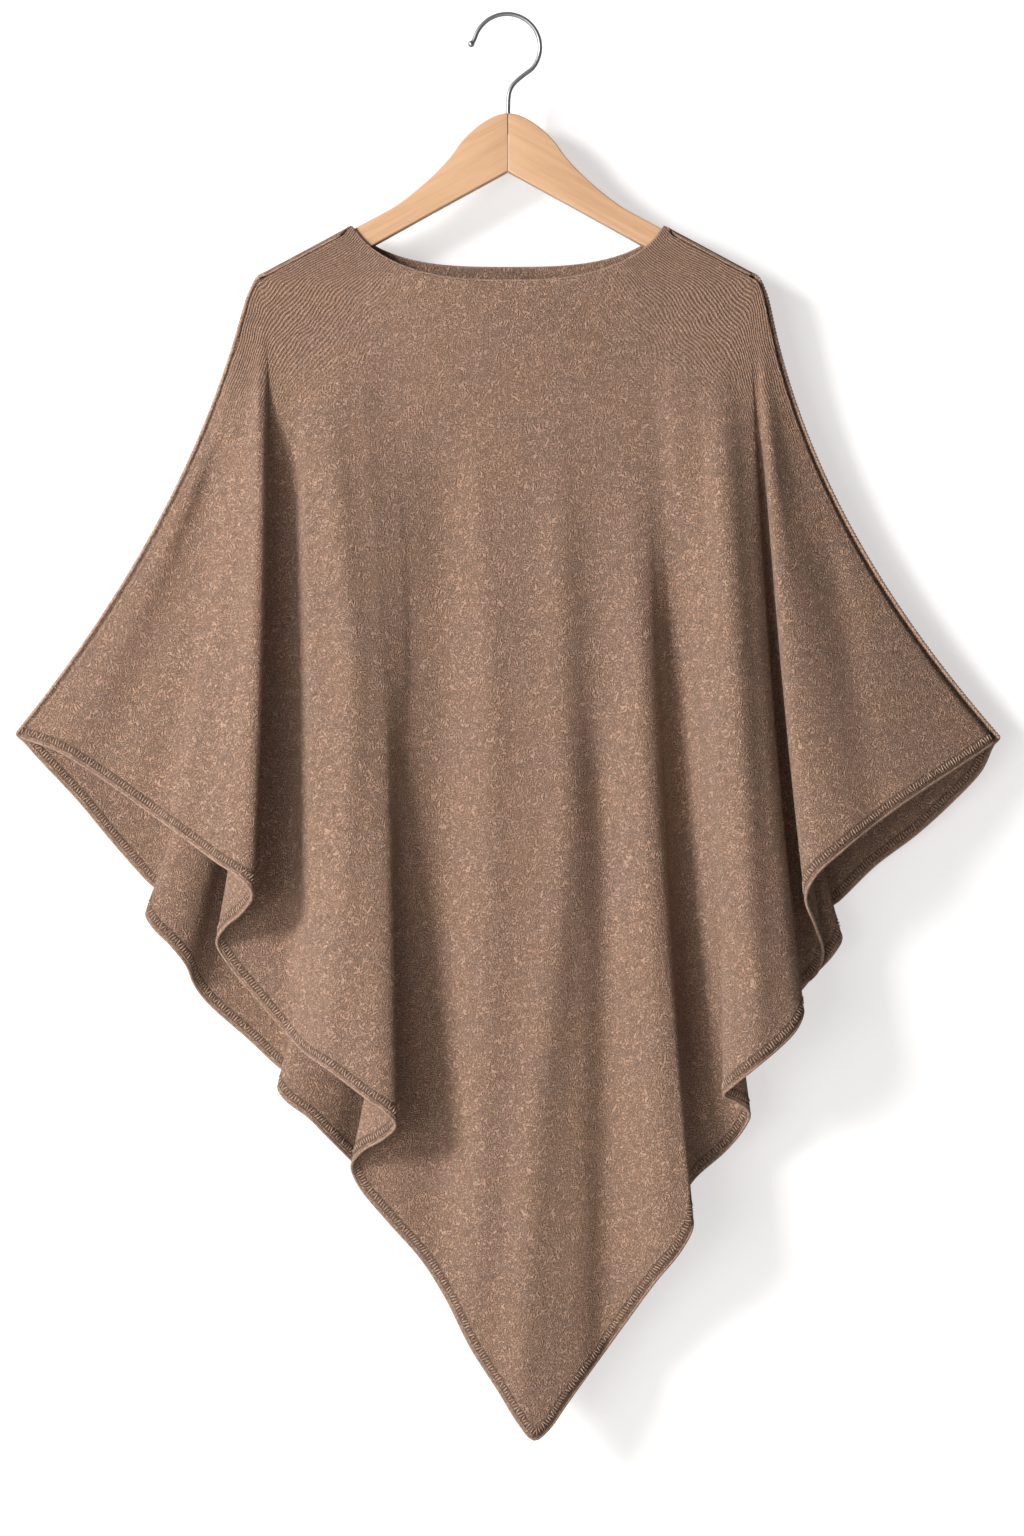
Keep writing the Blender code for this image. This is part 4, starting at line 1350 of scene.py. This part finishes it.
@dataclass
class HemStitches:
    """The overlocked band's upright stitches, laid on a panel along its hem.

    Args:
        spacing: Distance between stitches, in millimetres.
        length: Length of each one, in millimetres.
        width: Its width, in millimetres.
        height: How far it stands off the cloth, in millimetres.
        taper: How much narrower its ends are, as a share of the width.
        above: Height of the band's middle over the hem, in millimetres.
        inset: Distance of the first and last stitch from the hem's ends, in millimetres.
        tilt: How unevenly they lean, in radians.
        sizes: The smallest and largest one's size, as shares.
        seed: The seed for their lean, and the next one for their sizes.
    """

    spacing: float = 2.7
    length: float = 6.3
    width: float = 1.2
    height: float = 0.75
    taper: float = 0.28
    above: float = 6.0
    inset: float = 2.0
    tilt: float = 0.38
    sizes: Pair = (0.8, 1.15)
    seed: int = 7

    def stitch(self) -> bpy.types.Object:
        """One stitch: a short ball-ended bar, lying along its own Y.

        Returns:
            The stitch.
        """
        bpy.ops.mesh.primitive_uv_sphere_add(segments=6, ring_count=5, radius=0.5,
                                             rotation=(math.pi / 2, 0.0, 0.0))
        bar = bpy.context.active_object
        bar.name = "stitch_form"
        bpy.ops.object.transform_apply(rotation=True)
        for vert in bar.data.vertices:
            fuller = 1.0 - abs(2 * vert.co.y) ** 4
            vert.co.x *= self.width * MM * (1.0 - self.taper + self.taper * fuller)
            vert.co.y *= self.length * MM
            vert.co.z *= 2 * self.height * MM
        bar.data.shade_smooth()
        return bar

    def guide(self, grid: Grid, sign: float, wall: float) -> bpy.types.Object:
        """Points along the band on one face of the cloth, with the way up and out at each.

        Args:
            grid: The panel's middle surface.
            sign: 1 for one face of the cloth and -1 for the other.
            wall: The cloth's thickness, in millimetres.

        Returns:
            A mesh of loose points with the attributes up and out.
        """
        over = over_hem(grid)[::-1]
        normals = normals_of(grid) * sign
        middle, out = (np.array([read_at(self.above * MM, over[:, j], values[::-1, j])
                                 for j in range(grid.shape[1])]) for values in (grid, normals))
        run = lengths_along(middle)
        at = np.arange(self.inset * MM, run[-1] - self.inset * MM, self.spacing * MM)
        places, up, out = (read_at(at, run, values) for values in (middle, hem_directions(grid)[0], out))
        out /= np.linalg.norm(out, axis=1, keepdims=True)
        mesh = bpy.data.meshes.new("hem_guide")
        mesh.from_pydata([tuple(place) for place in places + out * (wall / 2 * MM)], [], [])
        for name, values in (("up", up), ("out", out)):
            layer = mesh.attributes.new(name, "FLOAT_VECTOR", "POINT")
            layer.data.foreach_set("vector", values.astype(np.float32).ravel())
        return link(bpy.data.objects.new("hem_guide", mesh))

    def tree(self) -> bpy.types.NodeTree:
        """The node tree that sets a stitch on each guide point.

        Returns:
            The tree.
        """
        tree = bpy.data.node_groups.new("Hem stitches", "GeometryNodeTree")
        inputs = {"Geometry": "Geometry", "Stitch": "Object", "Tilt": "Float", "Finish": "Material"}
        for name, kind in inputs.items():
            tree.interface.new_socket(name, in_out="INPUT", socket_type=f"NodeSocket{kind}")
        tree.interface.new_socket("Geometry", in_out="OUTPUT", socket_type="NodeSocketGeometry")
        nodes = Nodes(tree)
        given = nodes.add("NodeGroupInput").outputs
        up, out = (nodes.add("GeometryNodeInputNamedAttribute", {"Name": name},
                             data_type="FLOAT_VECTOR").outputs["Attribute"] for name in ("up", "out"))
        turn = nodes.add("FunctionNodeAxesToRotation", {"Primary Axis": out, "Secondary Axis": up},
                         primary_axis="Z", secondary_axis="Y")
        lowest = nodes.math("MULTIPLY", given["Tilt"], -1.0)
        lean = nodes.add("FunctionNodeRandomValue", {2: lowest, 3: given["Tilt"], "Seed": self.seed},
                         data_type="FLOAT")
        twist = nodes.add("FunctionNodeAxisAngleToRotation", {
            "Axis": (0.0, 0.0, 1.0), "Angle": lean.outputs[1]})
        leaning = nodes.add("FunctionNodeRotateRotation", {
            "Rotation": turn.outputs["Rotation"], "Rotate By": twist.outputs["Rotation"]},
            rotation_space="LOCAL")
        smallest, largest = self.sizes
        size = nodes.add("FunctionNodeRandomValue", {2: smallest, 3: largest, "Seed": self.seed + 1},
                         data_type="FLOAT")
        form = nodes.add("GeometryNodeObjectInfo", {"Object": given["Stitch"]}, transform_space="ORIGINAL")
        points = nodes.add("GeometryNodeMeshToPoints", {"Mesh": given["Geometry"]})
        placed = nodes.add("GeometryNodeInstanceOnPoints", {
            "Points": points.outputs["Points"], "Instance": form.outputs["Geometry"],
            "Rotation": leaning.outputs["Rotation"], "Scale": size.outputs[1]})
        real = nodes.add("GeometryNodeRealizeInstances", {"Geometry": placed.outputs["Instances"]})
        finish = nodes.add("GeometryNodeSetMaterial", {
            "Geometry": real.outputs["Geometry"], "Material": given["Finish"]})
        nodes.add("NodeGroupOutput", {"Geometry": finish.outputs["Geometry"]})
        return tree

    def build(self, name: str, grid: Grid, wall: float, material: bpy.types.Material) -> bpy.types.Object:
        """Lays the stitches on both faces of the cloth as one plain mesh.

        Args:
            name: The piece's name.
            grid: The panel's middle surface.
            wall: The cloth's thickness, in millimetres.
            material: The thread's material.

        Returns:
            The mesh object.
        """
        tree = self.tree()
        form = self.stitch()
        sockets = {item.name: item.identifier for item in tree.interface.items_tree if item.in_out == "INPUT"}
        shape = bmesh.new()
        for sign in (1.0, -1.0):
            guide = self.guide(grid, sign, wall)
            modifier = guide.modifiers.new("Stitches", "NODES")
            modifier.node_group = tree
            modifier[sockets["Stitch"]] = form
            modifier[sockets["Tilt"]] = self.tilt
            modifier[sockets["Finish"]] = material
            bpy.context.view_layer.update()
            graph = bpy.context.evaluated_depsgraph_get()
            made = bpy.data.meshes.new_from_object(guide.evaluated_get(graph))
            shape.from_mesh(made)
            bpy.data.objects.remove(guide, do_unlink=True)
            bpy.data.meshes.remove(made)
        bpy.data.objects.remove(form, do_unlink=True)
        return as_object(name, shape, material)


@dataclass
class Hanger:
    """The flat wooden hanger and its wire hook, in millimetres.

    Args:
        span: Its width.
        thickness: Thickness of the board.
        edge: Rounding of its edges.
        gap: How far each arm stops from the middle joint.
        crown_z: Top of the wood.
        apex_z: Underside of the wood at the middle joint.
        wire: Radius of the hook's wire.
        hook_radius: Radius of the hook, to the wire's middle.
        hook_x: Place of the hook's middle across.
        stem_depth: How far the stem goes into the wood.
        hole_clearance: Room round the stem in its hole, and under it.
        ball: Radius of the ball on the hook's end.
    """

    span: float = 438.0
    thickness: float = 12.0
    edge: float = 1.4
    gap: float = 0.15
    crown_z: float = -88.5
    apex_z: float = -140.5
    wire: float = 1.9
    hook_radius: float = 30.0
    hook_x: float = -1.0
    stem_depth: float = 18.0
    hole_clearance: float = 0.3
    ball: float = 2.9

    def outline(self, side: int) -> list[list[Pair]]:
        """One arm's outline as Bezier points with both handles, from the joint outwards and back.

        Args:
            side: -1 for the left arm or 1 for the right.

        Returns:
            For each point, its own place and its two handles.
        """
        end = self.span / 2
        points = [
            ((self.gap, self.crown_z), (self.gap, self.crown_z - 5.0), (17.0, self.crown_z)),
            ((47.0, -121.0), (38.0, -107.0), (58.0, -138.0)),
            ((104.0, -173.7), (86.0, -162.0), (121.0, -183.3)),
            ((end - 14.0, -227.8), (end - 34.0, -217.4), (end - 6.0, -232.0)),
            ((end, -245.0), (end, -239.0), (end, -250.5)),
            ((end - 10.0, -255.5), (end - 5.0, -257.5), (end - 20.0, -250.5)),
            ((self.gap, self.apex_z), (60.0, -173.0), (self.gap, self.apex_z + 5.0)),
        ]
        return [[(side * x * MM, z * MM) for x, z in point] for point in points]

    def arm(self, name: str, side: int, material: bpy.types.Material) -> bpy.types.Object:
        """One arm, sawn from a flat board with its edges rounded and its half of the stem's hole.

        Args:
            name: The arm's name.
            side: -1 for the left arm or 1 for the right.
            material: Its finish.

        Returns:
            The arm.
        """
        curve = bpy.data.curves.new(name, "CURVE")
        curve.dimensions = "2D"
        curve.fill_mode = "BOTH"
        curve.resolution_u = 28
        curve.bevel_depth = self.edge * MM
        curve.bevel_resolution = 4
        curve.offset = -self.edge * MM
        curve.extrude = (self.thickness / 2 - self.edge) * MM
        spline = curve.splines.new("BEZIER")
        outline = self.outline(side)
        spline.bezier_points.add(len(outline) - 1)
        for point, (place, left, right) in zip(spline.bezier_points, outline):
            point.co = (*place, 0.0)
            point.handle_left = (*left, 0.0)
            point.handle_right = (*right, 0.0)
        spline.use_cyclic_u = True
        board = link(bpy.data.objects.new(name, curve))
        board.rotation_euler = (math.pi / 2, 0.0, 0.0)
        arm = settle(board)
        weld(arm)
        foot = self.crown_z - self.stem_depth - self.hole_clearance
        top = self.crown_z + 10.0
        bpy.ops.mesh.primitive_cylinder_add(
            vertices=32, radius=(self.wire + self.hole_clearance) * MM, depth=(top - foot) * MM,
            location=(0.0, 0.0, (top + foot) / 2 * MM))
        return combined(arm, bpy.context.active_object, "DIFFERENCE", material, 38.0)

    def hook_path(self) -> list[Pair]:
        """The middle of the hook's wire, from the stem's foot to its free end, in metres.

        Returns:
            Places across and up.
        """
        path = [(0.0, self.crown_z - self.stem_depth), (0.0, self.crown_z), (0.2, -76.0), (0.8, -70.0),
                (2.6, -64.5), (6.2, -59.8), (11.0, -55.6), (16.2, -51.6)]
        for angle in np.radians(np.arange(-42.0, 163.0, 8.5)):
            path.append((self.hook_x + self.hook_radius * math.cos(angle),
                         self.wire - self.hook_radius + self.hook_radius * math.sin(angle)))
        path += [(-30.6, -22.4), (-33.0, -25.2)]
        return [(x * MM, z * MM) for x, z in path]

    def hook(self, name: str, material: bpy.types.Material) -> bpy.types.Object:
        """The bent wire with its ball end.

        Args:
            name: The hook's name.
            material: Its finish.

        Returns:
            The hook.
        """
        curve = bpy.data.curves.new(name, "CURVE")
        curve.dimensions = "3D"
        curve.bevel_depth = self.wire * MM
        curve.bevel_resolution = 6
        curve.use_fill_caps = True
        spline = curve.splines.new("NURBS")
        path = self.hook_path()
        spline.points.add(len(path) - 1)
        for point, (x, z) in zip(spline.points, path):
            point.co = (x, 0.0, z, 1.0)
        spline.use_endpoint_u = True
        spline.order_u = 4
        curve.resolution_u = 6
        wire = settle(link(bpy.data.objects.new(name, curve)))
        weld(wire)
        bpy.ops.mesh.primitive_uv_sphere_add(segments=32, ring_count=20, radius=self.ball * MM,
                                             location=(path[-1][0], 0.0, path[-1][1]))
        return combined(wire, bpy.context.active_object, "UNION", material, 50.0)


@dataclass
class Studio:
    """The wall behind, the floor, the lights and the camera, in metres.

    Args:
        wall_y: Depth of the wall.
        wall_size: Its width and height.
        wall_paint: Its finish.
        floor_z: Height of the floor.
        floor_size: Its width and depth.
        floor_paint: Its finish.
        eye: The camera's place.
        view_height: Height of the view on the hanger's plane.
        key_from: Where the main light stands.
        aim: What it points at.
        key_size: Its width.
        key_power: Its power, in watts.
        soft_from: Where the softer light stands, lower and nearer the front.
        soft_size: Width of that one.
        soft_power: Its power, in watts.
        back_from: Where the light for the hidden side stands, behind the wall.
        back_size: Width of that one.
        back_power: Its power, in watts.
        sky: Strength of the light from all round.
    """

    wall_y: float = 0.034
    wall_size: float = 6.0
    wall_paint: PlainFinish = PlainFinish((0.50, 0.49, 0.485), seen_through=True, glow=0.56)
    floor_z: float = -1.9
    floor_size: float = 9.0
    floor_paint: PlainFinish = PlainFinish((0.86, 0.85, 0.84))
    eye: Place = (0.0036, -3.0, -0.6768)
    view_height: float = 1.3824
    key_from: Place = (-4.25, -3.35, 1.0)
    aim: Place = (0.0, 0.0, -0.65)
    key_size: float = 1.3
    key_power: float = 400.0
    soft_from: Place = (-2.2, -3.4, -1.7)
    soft_size: float = 2.4
    soft_power: float = 95.0
    back_from: Place = (-1.6, 3.6, 0.6)
    back_size: float = 2.4
    back_power: float = 60.0
    sky: float = 0.15

    def plane(self, name: str, size: float, place: Place, tilt: float,
              material: bpy.types.Material) -> None:
        """A square of the stage.

        Args:
            name: Its name.
            size: The length of its sides.
            place: Its middle.
            tilt: Its turn about X, in radians.
            material: Its finish.
        """
        bpy.ops.mesh.primitive_plane_add(size=size, location=place, rotation=(tilt, 0.0, 0.0))
        square = bpy.context.active_object
        square.name = name
        bpy.ops.object.transform_apply(location=True, rotation=True, scale=True)
        square.data.materials.append(material)

    def build(self) -> None:
        """Sets up the stage, the lights and the camera."""
        self.plane("stage_wall", self.wall_size, (0.0, self.wall_y, self.floor_z + self.wall_size / 2),
                   math.pi / 2, self.wall_paint.material("wall paint"))
        self.plane("stage_floor", self.floor_size, (0.0, 0.0, self.floor_z), 0.0,
                   self.floor_paint.material("floor paint"))
        world = bpy.data.worlds.new("soft light")
        world.use_nodes = True
        Nodes(world.node_tree).feed(world.node_tree.nodes["Background"],
                                    {"Color": (1.0, 1.0, 1.0, 1.0), "Strength": self.sky})
        bpy.context.scene.world = world
        bpy.context.scene.view_settings.view_transform = "Standard"
        for name, start, size, power in (("key", self.key_from, self.key_size, self.key_power),
                                         ("soft_key", self.soft_from, self.soft_size, self.soft_power),
                                         ("back", self.back_from, self.back_size, self.back_power)):
            lamp = bpy.data.lights.new(name, "AREA")
            lamp.energy = power
            lamp.size = size
            light = link(bpy.data.objects.new(name, lamp))
            light.location = start
            aim = Vector(self.aim) - Vector(start)
            light.rotation_euler = aim.to_track_quat("-Z", "Y").to_euler()
        camera = bpy.data.cameras.new("camera")
        camera.sensor_width = 36.0
        camera.lens = camera.sensor_width * abs(self.eye[1]) / self.view_height
        eye = link(bpy.data.objects.new("camera", camera))
        eye.location = self.eye
        eye.rotation_euler = (math.pi / 2, 0.0, 0.0)
        bpy.context.scene.camera = eye


@dataclass
class Poncho:
    """The whole garment on its hanger.

    Args:
        front: The front panel.
        back: The back panel.
        hanger: The hanger.
        side_rows: Rows under the hanger that the seams leave out where they turn down the sides.
    """

    front: Panel = field(default_factory=lambda: Panel(
        "poncho_front", "front_panel", Face.FRONT, FRONT_SECTIONS, FRONT_CREASES, (1.05, 1.04), 0.604))
    back: Panel = field(default_factory=lambda: Panel(
        "poncho_back", "back_panel", Face.BACK, BACK_SECTIONS, BACK_CREASES, (0.92, 1.01), 0.550,
        neck_drop=38.5, neck_squareness=3.0, rest_y=8.6, bow=5.0))
    hanger: Hanger = field(default_factory=Hanger)
    side_rows: int = 4

    def dress(self, obj: bpy.types.Object) -> bpy.types.Object:
        """Lets a piece ride on the part.

        Args:
            obj: The piece.

        Returns:
            The piece.
        """
        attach(obj, "root")
        LOG.info("%s: %d faces", obj.name, len(obj.data.polygons))
        return obj

    def cloth(self) -> None:
        """Builds both panels with their hems, seams and neck edges."""
        knit = KnitFinish().material("brown knit")
        thread = ThreadFinish().material("sewing thread")
        # Painted shade: the seams' serged thread in a darker copy, toned down where the key light strikes the
        # hem's edge; the neck's edge shares it.
        edge = ThreadFinish(light=(0.36, 0.228, 0.162), dark=(0.20, 0.120, 0.080)).material("knit edge")
        serged = ThreadFinish(light=(0.46, 0.30, 0.215), dark=(0.24, 0.145, 0.10)).material("serged edge")
        for panel in (self.front, self.back):
            sheet, grid = panel.build(knit)
            side = panel.face.name.lower()
            neck = np.abs(panel.tops()) < panel.fit.neck_half
            pieces = [HemStitches().build(f"hem_stitches_{side}", grid, panel.fit.wall, thread),
                      EdgeRoll(radius=1.45).build(f"hem_edge_{side}", grid[-1], edge),
                      EdgeRoll(radius=1.3).build(f"neck_edge_{side}", grid[0][neck], edge)]
            if panel.face is Face.BACK:
                pieces += self.seams(grid, neck, serged)
            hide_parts(panel.node)
            self.dress(sheet)
            for piece in pieces:
                self.dress(piece)

    def seams(self, grid: Grid, neck: Grid, material: bpy.types.Material) -> list[bpy.types.Object]:
        """The serged seams: from each neck corner along the shoulder and down the side.

        Args:
            grid: The front's middle surface.
            neck: Which of its top row's points are on the neck.
            material: Their finish.

        Returns:
            The left seam and the right.
        """
        pieces = []
        first, last = np.flatnonzero(neck)[[0, -1]]
        for name, top, column in (("left", grid[0, :first][::-1], 0), ("right", grid[0, last + 1:], -1)):
            line = np.concatenate([top, grid[len(OVER_THE_ARM) + self.side_rows:, column]])
            roll = EdgeRoll(radius=1.75, ribs=0.2, rib_length=3.2, step=0.8, sides=10, rounding=60,
                            thin=(float(lengths_along(top)[-1]) / MM, 0.5))
            pieces.append(roll.build(f"serged_seam_{name}", line, material))
        return pieces

    def wooden_hanger(self) -> None:
        """Builds the arms and the hook."""
        for name, side in (("left", -1), ("right", 1)):
            arm = self.hanger.arm(f"wooden_arm_{name}", side, WoodFinish().material(f"wood {name}", side))
            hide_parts(f"hanger_arm_{name}")
            self.dress(arm)
        hook = self.hanger.hook("steel_hook", SteelFinish().material("polished steel"))
        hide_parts("hanger_hook")
        self.dress(hook)


def main() -> None:
    """Builds the scene in order."""
    logging.basicConfig(level=logging.INFO, format="%(message)s")
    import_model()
    poncho = Poncho()
    poncho.cloth()
    poncho.wooden_hanger()
    Studio().build()


if __name__ == "__main__":
    main()
